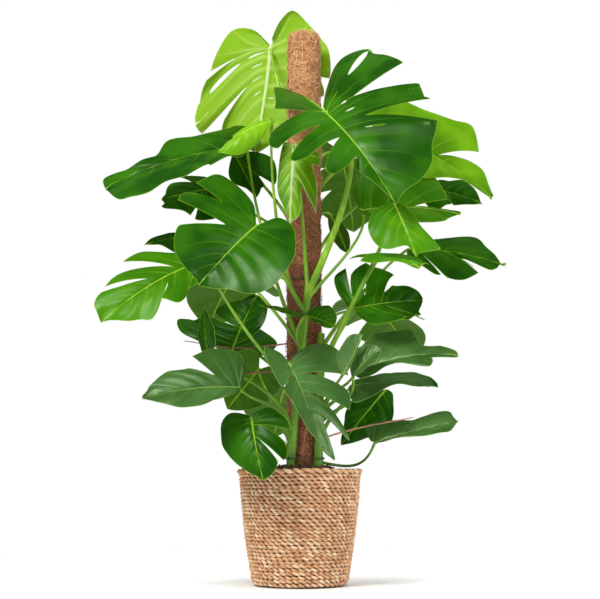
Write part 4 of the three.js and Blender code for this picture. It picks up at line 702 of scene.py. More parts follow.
# The photo's view, in metres, and its soft white studio. Room: how bright the surroundings are for what lights
# the plant and for its gloss. Lights: place, what each points at, size, power, and whether gloss shows it.
CAMERA = {"place": (0, -2.85, 0.23), "target": (0, 0, 0.69), "lens": 69.9, "sensor": 36, "far": 50}
ROOM = {"light": 0.66, "gloss": 0.07}
LIGHTS = {
    "key": ((-1.5, -2.2, 2.7), (0, 0, 0.8), 1.1, 90, True),
    "fill": ((2.4, -1.8, 1.4), (0, 0, 0.7), 1.6, 32, True),
    "top": ((0.3, 0.9, 3.0), (0, 0, 0.9), 1.2, 50, False),
}


# Building helpers

def deselect():
    """Leaves edit mode and selects nothing."""
    if bpy.context.object and bpy.context.object.mode != "OBJECT":
        bpy.ops.object.mode_set(mode="OBJECT")
    bpy.ops.object.select_all(action="DESELECT")


def choose(piece):
    """Selects only this piece and makes it the active one."""
    deselect()
    piece.select_set(True)
    bpy.context.view_layer.objects.active = piece


def mesh_piece(name, points, faces, smooth=50):
    """A new mesh from points in metres and its faces, smooth up to the given angle."""
    mesh = bpy.data.meshes.new(name)
    mesh.from_pydata(np.asarray(points).tolist(), [], [list(map(int, f)) for f in faces])
    piece = bpy.data.objects.new(name, mesh)
    bpy.context.scene.collection.objects.link(piece)
    choose(piece)
    bpy.ops.object.shade_smooth_by_angle(angle=math.radians(smooth))
    return piece


def vector_mark(piece, name, values):
    """Keeps three numbers for each vertex, for the material to read."""
    mark = piece.data.attributes.new(name, "FLOAT_VECTOR", "POINT")
    mark.data.foreach_set("vector", np.asarray(values, np.float32).ravel())


def finish_piece(piece, material, slot, *nodes):
    """The piece gets its material, rides on the plant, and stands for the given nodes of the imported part."""
    piece.data.materials.clear()
    piece.data.materials.append(material)
    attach(piece, "root")
    if nodes:
        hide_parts(*nodes)
    return piece


def turned_piece(name, profile, sides, centre=(0, 0)):
    """A turned shape, drawn up ring by ring from a filled disc. profile: radius and height of each ring."""
    deselect()
    radius, z = profile[0]
    bpy.ops.mesh.primitive_circle_add(
        vertices=sides, radius=radius * MM, fill_type="NGON",
        location=(centre[0] * MM, centre[1] * MM, z * MM),
    )
    piece = bpy.context.object
    piece.name = piece.data.name = name
    bpy.ops.object.transform_apply(location=True)
    bpy.ops.object.mode_set(mode="EDIT")
    bpy.ops.mesh.select_all(action="SELECT")
    for next_radius, next_z in profile[1:]:
        bpy.ops.mesh.extrude_region_move(TRANSFORM_OT_translate={"value": (0, 0, (next_z - z) * MM)})
        bpy.ops.transform.resize(value=(next_radius / radius, next_radius / radius, 1))
        radius, z = next_radius, next_z
    bpy.ops.mesh.select_all(action="SELECT")
    bpy.ops.mesh.normals_make_consistent(inside=False)
    bpy.ops.object.mode_set(mode="OBJECT")
    bpy.ops.object.shade_smooth_by_angle(angle=math.radians(40))
    return piece


def roughen(piece, size, strength, cuts=0):
    """Pushes the surface in and out by a cloudy pattern of the given size, after simple subdivision."""
    if cuts:
        finer = piece.modifiers.new("finer", "SUBSURF")
        finer.subdivision_type = "SIMPLE"
        finer.levels = finer.render_levels = cuts
    clouds = bpy.data.textures.new(piece.name + "_clouds", "CLOUDS")
    clouds.noise_scale = size
    clouds.noise_depth = 3
    push = piece.modifiers.new("push", "DISPLACE")
    push.texture = clouds
    push.texture_coords = "LOCAL"
    push.strength = strength
    push.mid_level = 0.5
    choose(piece)
    for modifier in list(piece.modifiers):
        bpy.ops.object.modifier_apply(modifier=modifier.name)


def smooth_path(points, count, closed=False):
    """Evenly spread points on a smooth curve through the given ones."""
    points = np.asarray(points, float)
    if closed:
        points = np.vstack([points[-1], points, points[:2]])
    else:
        points = np.vstack([2 * points[0] - points[1], points, 2 * points[-1] - points[-2]])
    found = []
    t = np.linspace(0, 1, 25)[:-1, None]
    for a, b, c, d in zip(points, points[1:], points[2:], points[3:]):
        square, cube = 2 * a - 5 * b + 4 * c - d, 3 * b - a - 3 * c + d
        found.append(0.5 * (2 * b + (c - a) * t + square * t**2 + cube * t**3))
    found = np.vstack(found + [points[-2][None]])
    gone = np.concatenate([[0], np.cumsum(np.linalg.norm(np.diff(found, axis=0), axis=1))])
    at = np.linspace(0, gone[-1], count + 1)
    return np.stack([np.interp(at, gone, found[:, k]) for k in range(3)], axis=1)


def path_frames(path, closed=False):
    """Two directions square to the path at each point, with no twist between them."""
    ahead = np.roll(path, -1, 0) - np.roll(path, 1, 0)
    if not closed:
        ahead[0], ahead[-1] = path[1] - path[0], path[-1] - path[-2]
    ahead /= np.linalg.norm(ahead, axis=1, keepdims=True)
    side = np.cross(ahead[0], (0, 0, 1) if abs(ahead[0][2]) < 0.9 else (1, 0, 0))
    first = []
    for direction in ahead:
        side = side - direction * side.dot(direction)
        side /= np.linalg.norm(side)
        first.append(side)
    first = np.array(first)
    return first, np.cross(ahead, first)


def tube_parts(path, radii, sides, closed=False, shape=None):
    """Points and faces of a tube along a path, closed by caps or into a ring. shape scales each side."""
    first, second = path_frames(path, closed)
    turn = 2 * np.pi * np.arange(sides) / sides
    spread = np.cos(turn)[None, :, None] * first[:, None] + np.sin(turn)[None, :, None] * second[:, None]
    radii = np.broadcast_to(np.asarray(radii, float).reshape(-1, 1, 1), (len(path), 1, 1))
    if shape is not None:
        spread = spread * shape[..., None]
    points = (path[:, None] + spread * radii).reshape(-1, 3)
    rings = len(path)
    i, s = np.meshgrid(np.arange(rings if closed else rings - 1), np.arange(sides), indexing="ij")
    a, b = i * sides + s, i * sides + (s + 1) % sides
    c, d = (b + sides) % len(points), (a + sides) % len(points)
    faces = np.stack([a, b, c, d], -1).reshape(-1, 4).tolist()
    if not closed:
        faces.append(list(range(sides))[::-1])
        faces.append([len(points) - sides + k for k in range(sides)])
    return points, faces


def gather(parts):
    """Joins several (points, faces) lists into one."""
    points, faces, count = [], [], 0
    for part_points, part_faces in parts:
        points.append(part_points)
        faces += [[v + count for v in face] for face in part_faces]
        count += len(part_points)
    return np.vstack(points), faces


# Materials

class Shader:
    """A material's nodes, added one by one."""

    def __init__(self, name):
        self.material = bpy.data.materials.new(name)
        self.material.use_nodes = True
        self.tree = self.material.node_tree
        self.surface = self.tree.nodes["Principled BSDF"]
        self.output = self.tree.nodes["Material Output"]

    def add(self, kind, **settings):
        node = self.tree.nodes.new(kind)
        for key, value in settings.items():
            setattr(node, key, value)
        return node

    def join(self, start, end):
        self.tree.links.new(start, end)

    def place(self, scale=(1, 1, 1)):
        """Object coordinates, stretched by scale."""
        where = self.add("ShaderNodeTexCoord")
        stretch = self.add("ShaderNodeMapping")
        stretch.inputs["Scale"].default_value = scale
        self.join(where.outputs["Object"], stretch.inputs["Vector"])
        return stretch.outputs["Vector"]

    def height(self):
        """Height above the floor, in metres."""
        split = self.add("ShaderNodeSeparateXYZ")
        self.join(self.place(), split.inputs["Vector"])
        return split.outputs["Z"]

    def noise(self, place, scale, detail, rough=0.55):
        """A cloudy pattern with so many clouds to a metre."""
        cloud = self.add("ShaderNodeTexNoise")
        cloud.inputs["Scale"].default_value = scale
        cloud.inputs["Detail"].default_value = detail
        cloud.inputs["Roughness"].default_value = rough
        self.join(place, cloud.inputs["Vector"])
        return cloud.outputs["Fac"]

    def marks(self, name):
        """The three numbers kept at each vertex under that name."""
        read = self.add("ShaderNodeAttribute", attribute_name=name)
        split = self.add("ShaderNodeSeparateXYZ")
        self.join(read.outputs["Vector"], split.inputs["Vector"])
        return split.outputs

    def feed(self, value, socket):
        """Gives a socket a number, a colour or another node's output."""
        if isinstance(value, tuple):
            socket.default_value = (*value, 1.0)
        elif isinstance(value, (int, float)):
            socket.default_value = value
        else:
            self.join(value, socket)

    def calc(self, operation, *values):
        """One step of arithmetic on numbers or outputs."""
        step = self.add("ShaderNodeMath", operation=operation)
        for value, socket in zip(values, step.inputs):
            self.feed(value, socket)
        return step.outputs["Value"]

    def times(self, a, b):
        return self.calc("MULTIPLY", a, b)

    def fade(self, value, low, high, start=0.0, end=1.0):
        """From start to end as value goes from low to high, with soft ends."""
        step = self.add("ShaderNodeMapRange", interpolation_type="SMOOTHSTEP")
        self.join(value, step.inputs["Value"])
        for key, number in (("From Min", low), ("From Max", high), ("To Min", start), ("To Max", end)):
            self.feed(number, step.inputs[key])
        return step.outputs["Result"]

    def mix(self, share, a, b):
        """Colour a, changed into colour b by the given share."""
        blend = self.add("ShaderNodeMix", data_type="RGBA")
        for key, value in ((0, share), (6, a), (7, b)):
            self.feed(value, blend.inputs[key])
        return blend.outputs[2]

    def blend(self, share, first, second):
        """Shows the second shader over the first by the given share."""
        both = self.add("ShaderNodeMixShader")
        self.feed(share, both.inputs["Fac"])
        self.join(first, both.inputs[1])
        self.join(second, both.inputs[2])
        self.join(both.outputs["Shader"], self.output.inputs["Surface"])

    def relief(self, height, depth, strength):
        """Raises the surface by height, by shading alone."""
        bump = self.add("ShaderNodeBump")
        bump.inputs["Strength"].default_value = strength
        bump.inputs["Distance"].default_value = depth
        self.join(height, bump.inputs["Height"])
        self.join(bump.outputs["Normal"], self.surface.inputs["Normal"])

    def dress(self, colour, roughness):
        """Gives the surface its colour and roughness."""
        self.feed(colour, self.surface.inputs["Base Color"])
        self.feed(roughness, self.surface.inputs["Roughness"])
        return self.material


def leaf_material(name, upper, deep, vein, under, margin, glow, vivid, broad=1.0, wax=0.22, satin=0.28):
    """Waxy leaf: veins and midrib paler than the blade, a thin pale margin, a duller underside.

    glow: the light that comes through. vivid: how clear the veins are. broad: how wide. wax, satin: gloss.
    """
    s = Shader(name)
    phase, reach, spacing = s.marks("veins")
    rib, edge, below = s.marks("borders")
    place = s.place()
    tone = s.fade(s.noise(place, 9, 2), 0.35, 0.65)
    grain = s.noise(place, 160, 4, 0.7)
    body = s.mix(tone, deep, upper)
    body = s.mix(s.fade(grain, 0.3, 0.75, 0.0, 0.16), body, upper)
    body = s.mix(s.fade(reach, 0.25, 1.0, 0.0, 0.3 * broad), body, deep)
    body = s.mix(below, body, under)
    off = s.calc("ABSOLUTE", s.calc("SUBTRACT", s.calc("FRACT", phase), 0.5))
    gap = s.times(off, spacing)
    thin = s.fade(reach, 0.0, 1.0, 1.25, 0.35)
    line = s.fade(s.calc("DIVIDE", gap, thin), 0.6, 1.5, 1.0, 0.0)
    soft = s.fade(s.calc("DIVIDE", gap, thin), 0.8, 5.0 * broad, 1.0, 0.0)
    body = s.mix(s.times(soft, vivid**2), body, vein)
    body = s.mix(s.times(line, s.fade(reach, 0.0, 0.9, vivid, 0.05)), body, vein)
    middle = s.fade(rib, 0.9 * broad, 2.3 * broad, 1.0, 0.0)
    body = s.mix(s.times(middle, 0.9), body, margin)
    rim = s.fade(edge, 0.3, 1.3, 1.0, 0.0)
    body = s.mix(s.times(rim, 0.6), body, margin)
    shine = s.fade(s.noise(place, 26, 3), 0.3, 0.7, satin, satin + 0.12)
    shine = s.calc("ADD", shine, s.times(below, 0.16))
    s.dress(body, shine)
    s.surface.inputs["Specular IOR Level"].default_value = wax
    s.surface.inputs["Specular Tint"].default_value = (0.8, 1.0, 0.65, 1)
    ridges = s.times(s.times(line, -0.8), s.calc("SUBTRACT", 1.0, s.times(below, 2.0)))
    s.relief(s.calc("ADD", s.times(grain, 0.22), ridges), 0.0011, 0.7)
    through = s.add("ShaderNodeBsdfTranslucent")
    s.join(s.mix(0.5, body, glow), through.inputs["Color"])
    s.blend(0.22, s.surface.outputs["BSDF"], through.outputs["BSDF"])
    return s.material


def stem_material(name, fresh, old, low_green, speck):
    """Green skin with faint streaks along it and small brown specks, darker low on the plant."""
    s = Shader(name)
    streak = s.noise(s.place((1, 1, 0.08)), 170, 3)
    body = s.mix(s.fade(s.noise(s.place(), 8, 2), 0.4, 0.62), fresh, old)
    body = s.mix(s.fade(streak, 0.35, 0.65, 0.0, 0.6), body, old)
    # Darker green towards the bottom of the plant.
    blotched = s.calc("ADD", s.height(), s.times(s.noise(s.place((1, 1, 0.3)), 60, 3), 0.5))
    body = s.mix(s.fade(blotched, 0.55, 0.95, 0.85, 0.0), body, low_green)
    body = s.mix(s.fade(s.noise(s.place(), 420, 2), 0.64, 0.72, 0.0, 0.7), body, speck)
    s.relief(streak, 0.0006, 0.5)
    return s.dress(body, s.fade(streak, 0.3, 0.7, 0.36, 0.5))


def coir_material(name):
    """Matted coconut fibre, orange brown at the top and darker lower down."""
    s = Shader(name)
    place = s.place()
    edge = s.calc("ADD", s.height(), s.times(s.noise(place, 9, 2), 0.3))
    # Darker brown towards the bottom of the pole.
    low_share = s.fade(edge, 0.75, 1.35, 1.0, 0.0)
    mat = s.noise(place, 190, 6, 0.75)
    streaks = s.noise(s.place((1, 1, 0.5)), 420, 4, 0.7)
    dry = s.mix(s.fade(mat, 0.34, 0.62), (0.2, 0.066, 0.019), (0.66, 0.32, 0.12))
    low_brown = s.mix(s.fade(mat, 0.36, 0.64), (0.08, 0.021, 0.008), (0.38, 0.135, 0.055))
    body = s.mix(low_share, dry, low_brown)
    s.relief(s.calc("ADD", mat, s.times(streaks, 0.5)), 0.003, 0.9)
    return s.dress(body, 0.9)


def fibre_material(name):
    """Single coconut fibres, each a little different from its neighbours."""
    s = Shader(name)
    shade, height, _ = s.marks("fibre")
    dry = s.mix(shade, (0.34, 0.125, 0.035), (0.95, 0.6, 0.3))
    low_brown = s.mix(shade, (0.13, 0.04, 0.014), (0.62, 0.27, 0.11))
    # Darker towards the bottom of the pole, as on the mat.
    body = s.mix(s.fade(height, 0.8, 1.25, 1.0, 0.0), dry, low_brown)
    body = s.mix(s.fade(s.noise(s.place(), 900, 2), 0.4, 0.7, 0.0, 0.3), body, (0.16, 0.055, 0.022))
    return s.dress(body, 0.75)


def seagrass_material(name):
    """Twisted dry grass: fine fibres along each strand, pale ridges, and painted shade where the strands lie
    inwards in the hollows.
    """
    s = Shader(name)
    along, across, shade = s.marks("strand")
    inward = s.marks("lie")[0]
    where = s.add("ShaderNodeCombineXYZ")
    s.join(s.times(along, 22.0), where.inputs["X"])
    s.join(s.times(across, 9.0), where.inputs["Y"])
    s.join(s.times(shade, 30.0), where.inputs["Z"])
    fibres = s.noise(where.outputs["Vector"], 1.0, 5, 0.7)
    patches = s.noise(s.place(), 60, 3, 0.6)
    body = s.mix(s.fade(fibres, 0.3, 0.7), (0.4, 0.16, 0.055), (0.92, 0.56, 0.3))
    body = s.mix(s.fade(patches, 0.42, 0.72, 0.0, 0.45), body, (0.98, 0.72, 0.46))
    body = s.mix(s.fade(shade, 0.55, 1.0, 0.0, 0.55), body, (0.5, 0.2, 0.07))
    body = s.mix(s.fade(shade, 0.4, 0.0, 0.0, 0.5), body, (1.0, 0.8, 0.55))
    # Painted shade: where a strand lies inwards, hidden by the twining, it turns almost black-brown.
    hollow = s.fade(inward, -0.05, 0.58, 1.0, 0.0)
    body = s.mix(s.times(hollow, 0.92), body, (0.075, 0.02, 0.005))
    s.relief(fibres, 0.0012, 0.8)
    return s.dress(body, s.fade(fibres, 0.2, 0.8, 0.5, 0.72))


def plain_material(name, light, dark, roughness, size, depth=0.0004):
    """An even finish with a slight mottle. size: marks to a metre. depth: their relief in metres."""
    s = Shader(name)
    mottle = s.noise(s.place(), size, 4, 0.6)
    s.relief(mottle, depth, 0.6)
    body = s.mix(s.fade(mottle, 0.3, 0.7), dark, light)
    return s.dress(body, s.fade(mottle, 0.3, 0.7, roughness, roughness + 0.1))


LEAF_DARK = leaf_material(
    "waxy_leaf", upper=(0.034, 0.17, 0.002), deep=(0.008, 0.07, 0.0006), vein=(0.15, 0.4, 0.01),
    under=(0.075, 0.2, 0.012), margin=(0.34, 0.6, 0.03), glow=(0.12, 0.46, 0.003), vivid=0.3,
)
# Partly painted sheen: the paler, greyer greens stand for the light these upturned leaves mirror, and the
# leaves are also duller.
LEAF_DULL_SHEEN = leaf_material(
    "dull_leaf_painted_sheen", upper=(0.084, 0.215, 0.042), deep=(0.038, 0.122, 0.014), vein=(0.24, 0.45, 0.1),
    under=(0.09, 0.205, 0.035), margin=(0.32, 0.53, 0.09), glow=(0.14, 0.4, 0.04), vivid=0.26,
    wax=1.0, satin=0.36,
)
LEAF_FRESH = leaf_material(
    "fresh_leaf", upper=(0.09, 0.31, 0.003), deep=(0.045, 0.2, 0.002), vein=(0.3, 0.6, 0.02),
    under=(0.14, 0.32, 0.012), margin=(0.45, 0.7, 0.05), glow=(0.26, 0.64, 0.005), vivid=0.34,
)
LEAF_YOUNG = leaf_material(
    "young_leaf", upper=(0.21, 0.48, 0.005), deep=(0.09, 0.28, 0.001), vein=(0.36, 0.6, 0.04),
    under=(0.2, 0.42, 0.01), margin=(0.42, 0.66, 0.06), glow=(0.36, 0.76, 0.008), vivid=0.4,
)
LEAF_LIGHT = leaf_material(
    "pale_leaf", upper=(0.24, 0.49, 0.005), deep=(0.07, 0.24, 0.001), vein=(0.52, 0.72, 0.14),
    under=(0.24, 0.46, 0.012), margin=(0.76, 0.84, 0.48), glow=(0.42, 0.8, 0.01), vivid=0.6, broad=1.9,
)
STEM_GREEN = stem_material(
    "stem_skin", fresh=(0.36, 0.62, 0.025), old=(0.14, 0.33, 0.008), low_green=(0.08, 0.22, 0.015),
    speck=(0.16, 0.05, 0.03),
)
COIR = coir_material("coir_mat")
FIBRE = fibre_material("coir_fibre")
SEAGRASS = seagrass_material("seagrass")
LINER = plain_material("basket_shade", (0.12, 0.055, 0.025), (0.05, 0.022, 0.01), 0.85, 90, 0.001)
POT_PLASTIC = plain_material("pot_plastic", (0.07, 0.05, 0.038), (0.05, 0.035, 0.028), 0.5, 30)
CORE_PLASTIC = plain_material("core_plastic", (0.17, 0.18, 0.17), (0.13, 0.14, 0.13), 0.5, 30)
EARTH = plain_material("moist_soil", (0.07, 0.034, 0.018), (0.02, 0.01, 0.006), 0.85, 260, 0.003)
BARK = plain_material("bark_chip", (0.16, 0.075, 0.038), (0.05, 0.022, 0.012), 0.8, 190, 0.0015)
ROOT_BARK = plain_material("root_bark", (0.33, 0.13, 0.065), (0.16, 0.06, 0.03), 0.65, 240, 0.0008)
ROOT_PALE = plain_material("pale_root", (0.66, 0.36, 0.24), (0.42, 0.2, 0.12), 0.6, 240, 0.0008)
TIE_COAT = plain_material("tie_coat", (0.02, 0.09, 0.045), (0.012, 0.06, 0.03), 0.35, 60, 0.0002)


# Leaves

FAN_END = 0.34
RIB_END = 0.92


def leaf_frame(leaf):
    """Across, along and up directions of a leaf as columns, and the distance from knot to tip."""
    turn, rise = np.radians(leaf["face"])
    look = np.array([np.sin(turn) * np.cos(rise), -np.cos(turn) * np.cos(rise), np.sin(rise)])
    along = np.subtract(leaf["tip"], leaf["knot"]).astype(float)
    chord = np.linalg.norm(along)
    along /= chord
    up = look - along * look.dot(along)
    up /= np.linalg.norm(up)
    return np.stack([np.cross(along, up), along, up], axis=1), chord


def outline(leaf, side):
    """The edge of one half, from behind the knot to the tip, in half widths and lengths."""
    if "edges" in leaf:
        return np.array([*leaf["edges"][0 if side > 0 else 1], (0, 1.02)], float)
    heart, full = leaf.get("heart", 1), leaf.get("full", 0)
    lean = leaf.get("lean", (0, 0))[0 if side > 0 else 1]
    points = np.array([
        (0.03, -0.04 * heart), (0.35, -0.26 * heart), (0.78, -0.19 * heart), (1, 0.1 - 0.05 * heart), (1, 0.29),
        (0.88 + 0.08 * full, 0.51), (0.64 + 0.18 * full, 0.73), (0.32 + 0.2 * full, 0.9), (0, 1.02),
    ])
    points[:, 1] += lean * points[:, 0]
    return points


def on_outline(points, u):
    """The place on the edge at share u of the way."""
    last = len(points) - 1
    at = np.clip(u, 0, 1) * last
    i = np.minimum(at.astype(int), last)
    w = (at - i)[..., None]
    a, b = points[np.maximum(i - 1, 0)], points[i]
    c, d = points[np.minimum(i + 1, last)], points[np.minimum(i + 2, last)]
    p, q = (c - a) / 2, (d - b) / 2
    return (2 * b - 2 * c + p + q) * w**3 + (3 * c - 3 * b - 2 * p - q) * w**2 + p * w + b


def vein_root(u):
    """How far along the midrib the side vein that ends at u starts."""
    return 0.0 if u <= FAN_END else RIB_END * ((u - FAN_END) / (1 - FAN_END)) ** 1.1


def on_vein(points, root, u, v, lead):
    """A place on the side vein that ends at u, at share v of the way from the midrib to the edge.

    lead: how soon the vein turns from straight out to its way towards the edge.
    """
    end = on_outline(points, u)
    bow = 0.07 * end[..., 0] * np.clip((u - 0.15) / 0.3, 0, 1)
    middle_x = end[..., 0] * 0.52
    middle_y = root + (end[..., 1] - root) * lead - bow
    a, b, c = (1 - v) ** 2, 2 * v * (1 - v), v * v
    return np.stack([b * middle_x + c * end[..., 0], a * root + b * middle_y + c * end[..., 1]], -1)


def lobe_lines(cuts, pores):
    """The lines that part one half into lobes, each with its gaps from the midrib outwards."""
    lines = {}
    for cut in [*cuts, *pores]:
        start, wide, end = cut[1], cut[2], cut[3] if len(cut) > 3 else None
        lines.setdefault(cut[0], []).append((start, wide, end))
    middle = [(u, sorted(gaps, key=lambda gap: gap[0])) for u, gaps in sorted(lines.items())]
    return [(0, []), *middle, (1, [])]


def gap_width(gaps, v):
    """Half the opening at share v on a line."""
    wide = np.zeros_like(v)
    for start, width, end in gaps:
        t = (v - start) / ((end or 1) - start)
        inside = (t > 1e-9) & ((t < 1 - 1e-9) | (end is None))
        t = np.clip(t, 0, 1)
        shape = 2 * np.sqrt(t * (1 - t)) if end else 0.7 * np.sqrt(t) + 0.3 * t
        wide = np.where(inside, width * shape, wide)
    return wide


def column_places(gaps, count):
    """The shares of the columns on one line, closer beside the midrib and where a gap begins or ends."""
    stops = [(0, 0.0), (1, 0.02)]
    bends = []
    for start, _, end in gaps:
        first = max(stops[-1][0] + 1, round(start * count))
        stops.append((first, start))
        if end and end < 1:
            stops.append((max(first + 3, round(end * count)), end))
            bends.append((first, stops[-1][0], True))
        else:
            bends.append((first, count, False))
    stops.append((count, 1.0))
    at = np.arange(count + 1, dtype=float)
    places = np.interp(at, *zip(*stops))
    for first, last, closed in bends:
        inside = (at >= first) & (at <= last)
        t = (at[inside] - first) / (last - first)
        t = (1 - np.cos(np.pi * t)) / 2 if closed else t**1.4
        low, high = places[first], places[last]
        places[inside] = low + (high - low) * t
    return places


def row_shares(lines, rows):
    """Shares a number of rows among the lobes by their size, at least two each."""
    spans = np.diff([u for u, _ in lines])
    shares = np.maximum(2, np.round(spans * rows)).astype(int)
    while shares.sum() != rows:
        step = 1 if shares.sum() < rows else -1
        score = np.where(shares + step >= 2, step * (spans * rows - shares), -1e9)
        shares[int(np.argmax(score))] += step
    return shares


def half_strips(lines, rows, columns):
    """The lobes of one half as grids: place u and share v of each point, and how far it lies past a cut."""
    strips = []
    first = veins_before = 0
    for (low, high), share in zip(zip(lines, lines[1:]), row_shares(lines, rows)):
        (low_u, low_gaps), (high_u, high_gaps) = low, high
        low_open = [gap[0] for gap in low_gaps if not gap[2] or gap[2] > 1]
        high_open = [gap[0] for gap in high_gaps if not gap[2] or gap[2] > 1]
        low_v, high_v = column_places(low_gaps, columns), column_places(high_gaps, columns)
        q = np.linspace(0, 1, share + 1)[:, None]
        reach = (low_open[0] if low_open else 1) * (1 - q) + (high_open[0] if high_open else 1) * q
        trim = (0.16 * (1 - q) ** 3 if low_open else 0) + (0.03 * q**3 if high_open else 0)
        plain = low_v * (1 - q) + high_v * q
        past = np.maximum(0, plain - reach)
        u = (low_u + gap_width(low_gaps, low_v)) * (1 - q) + (high_u - gap_width(high_gaps, high_v)) * q
        veins = max(1, round((high_u - low_u) * VEINS))
        strips.append({
            "rows": np.arange(first, first + share + 1),
            "plain_u": (low_u * (1 - q) + high_u * q)[:, 0],
            "u": u,
            "v": plain - past * trim,
            "past": np.where(reach < 1, past / np.maximum(1e-9, 1 - reach) * (q - 0.5), 0),
            "phase": np.broadcast_to(veins_before + q * veins, plain.shape),
            "veins_per_row": veins / share,
        })
        first += share
        veins_before += veins
    return strips


def bend_blade(leaf, chord, side, across, along, rise, u, v):
    """Carries flat places of one half, in millimetres, onto the drooping, folded and twisted blade."""
    half = leaf["width"] / 2
    bend = math.radians(leaf["bend"])
    length = chord * (bend / 2) / math.sin(bend / 2)
    roll = math.radians(leaf["roll"][0 if side > 0 else 1]) / half
    fold = math.radians(leaf["fold"])
    arc_x, arc_z = np.sin(roll * across) / roll, -(1 - np.cos(roll * across)) / roll
    wave = leaf.get("wave", 0.03) * half * np.sin(19 * u + leaf["width"] + side) * v * v
    x = side * (arc_x * math.cos(fold) - arc_z * math.sin(fold))
    z = arc_x * math.sin(fold) + arc_z * math.cos(fold) + wave + rise
    twist = math.radians(leaf.get("twist", 0)) * along / length
    x, z = x * np.cos(twist) - z * np.sin(twist), x * np.sin(twist) + z * np.cos(twist)
    radius = length / bend
    angle = bend * along / length - bend / 2
    return np.stack([
        x,
        radius * (np.sin(angle) + math.sin(bend / 2)) + z * np.sin(angle),
        radius * (np.cos(angle) - math.cos(bend / 2)) + z * np.cos(angle),
    ], -1)


def blade_surface(name, leaf):
    """The blade's middle surface, with what the material needs to know at each point."""
    axes, chord = leaf_frame(leaf)
    half = leaf["width"] / 2
    bend = math.radians(leaf["bend"])
    length = chord * (bend / 2) / math.sin(bend / 2)
    rows, columns = next((r, c) for width, r, c in BLADE["grids"] if leaf["width"] > width)
    halves = {}
    for side, key in ((1, "plus"), (-1, "minus")):
        pores = [cut for owner, where, cut in PORES if owner == name and where == key]
        halves[side] = half_strips(lobe_lines(leaf[key], pores), rows, columns)
    roots = [[] for _ in range(rows + 1)]
    for strips in halves.values():
        for strip in strips:
            for row, u in zip(strip["rows"], strip["plain_u"]):
                roots[row].append(vein_root(u))
    root_at = np.array([(min(found) + max(found)) / 2 for found in roots])
    deep, spread = BLADE["channel"]
    points, marks, borders, faces, known = [], [], [], [], {}
    for side, strips in halves.items():
        edge = outline(leaf, side)
        for strip in strips:
            u, v, phase = strip["u"], strip["v"], strip["phase"]
            shift, lead = SWEEP.get((name, side), PLAIN_SWEEP)
            end = u + shift * np.sin(np.pi * u)
            flat = on_vein(edge, root_at[strip["rows"]][:, None], end, v, lead) * (half, length)
            step = np.linalg.norm(np.gradient(flat, axis=0), axis=-1)
            spacing = step / strip["veins_per_row"]
            bulge = np.minimum(BLADE["bulge"], 0.075 * spacing) * np.sin(np.pi * (phase - 0.5)) ** 2
            channel = deep * np.exp(-((flat[..., 0] / spread) ** 2)) * np.clip(1 - v * 4, 0, 1)
            rise = bulge * (1 - v**6) * np.clip(v / 0.1, 0, 1) - channel + strip["past"] * half * 0.16
            bent = bend_blade(leaf, chord, side, flat[..., 0], flat[..., 1], rise, u, v)
            placed = bent @ axes.T + leaf["knot"]
            ids = np.zeros(u.shape, int)
            for index in np.ndindex(u.shape):
                key = tuple(np.round(placed[index] * 50).astype(int))
                if key not in known:
                    known[key] = len(points)
                    points.append(placed[index])
                    marks.append((phase[index], v[index], spacing[index]))
                    borders.append((flat[index][0], 0.0, flat[index][1] / length))
                ids[index] = known[key]
            a, b, c, d = ids[:-1, :-1], ids[1:, :-1], ids[1:, 1:], ids[:-1, 1:]
            order = (a, d, c, b) if side > 0 else (a, b, c, d)
            for face in np.stack(order, -1).reshape(-1, 4):
                corners = list(dict.fromkeys(int(k) for k in face))
                if len(corners) > 2:
                    faces.append(corners)
    return np.array(points), np.array(marks), np.array(borders), faces


def rim_of(faces):
    """The open edges of a sheet of faces, each in the direction of its face."""
    edges = {}
    for face in faces:
        for a, b in zip(face, face[1:] + face[:1]):
            edges[(a, b)] = True
    return [(a, b) for a, b in edges if (b, a) not in edges]


def point_normals(points, faces):
    """The direction square to the sheet at each point."""
    normals = np.zeros_like(points)
    for size in (3, 4):
        some = np.array([f for f in faces if len(f) == size])
        if not len(some):
            continue
        corner = points[some]
        square = np.cross(corner[:, 2] - corner[:, 0], corner[:, -1] - corner[:, 1])
        for k in range(size):
            np.add.at(normals, some[:, k], square)
    return normals / np.linalg.norm(normals, axis=1, keepdims=True)


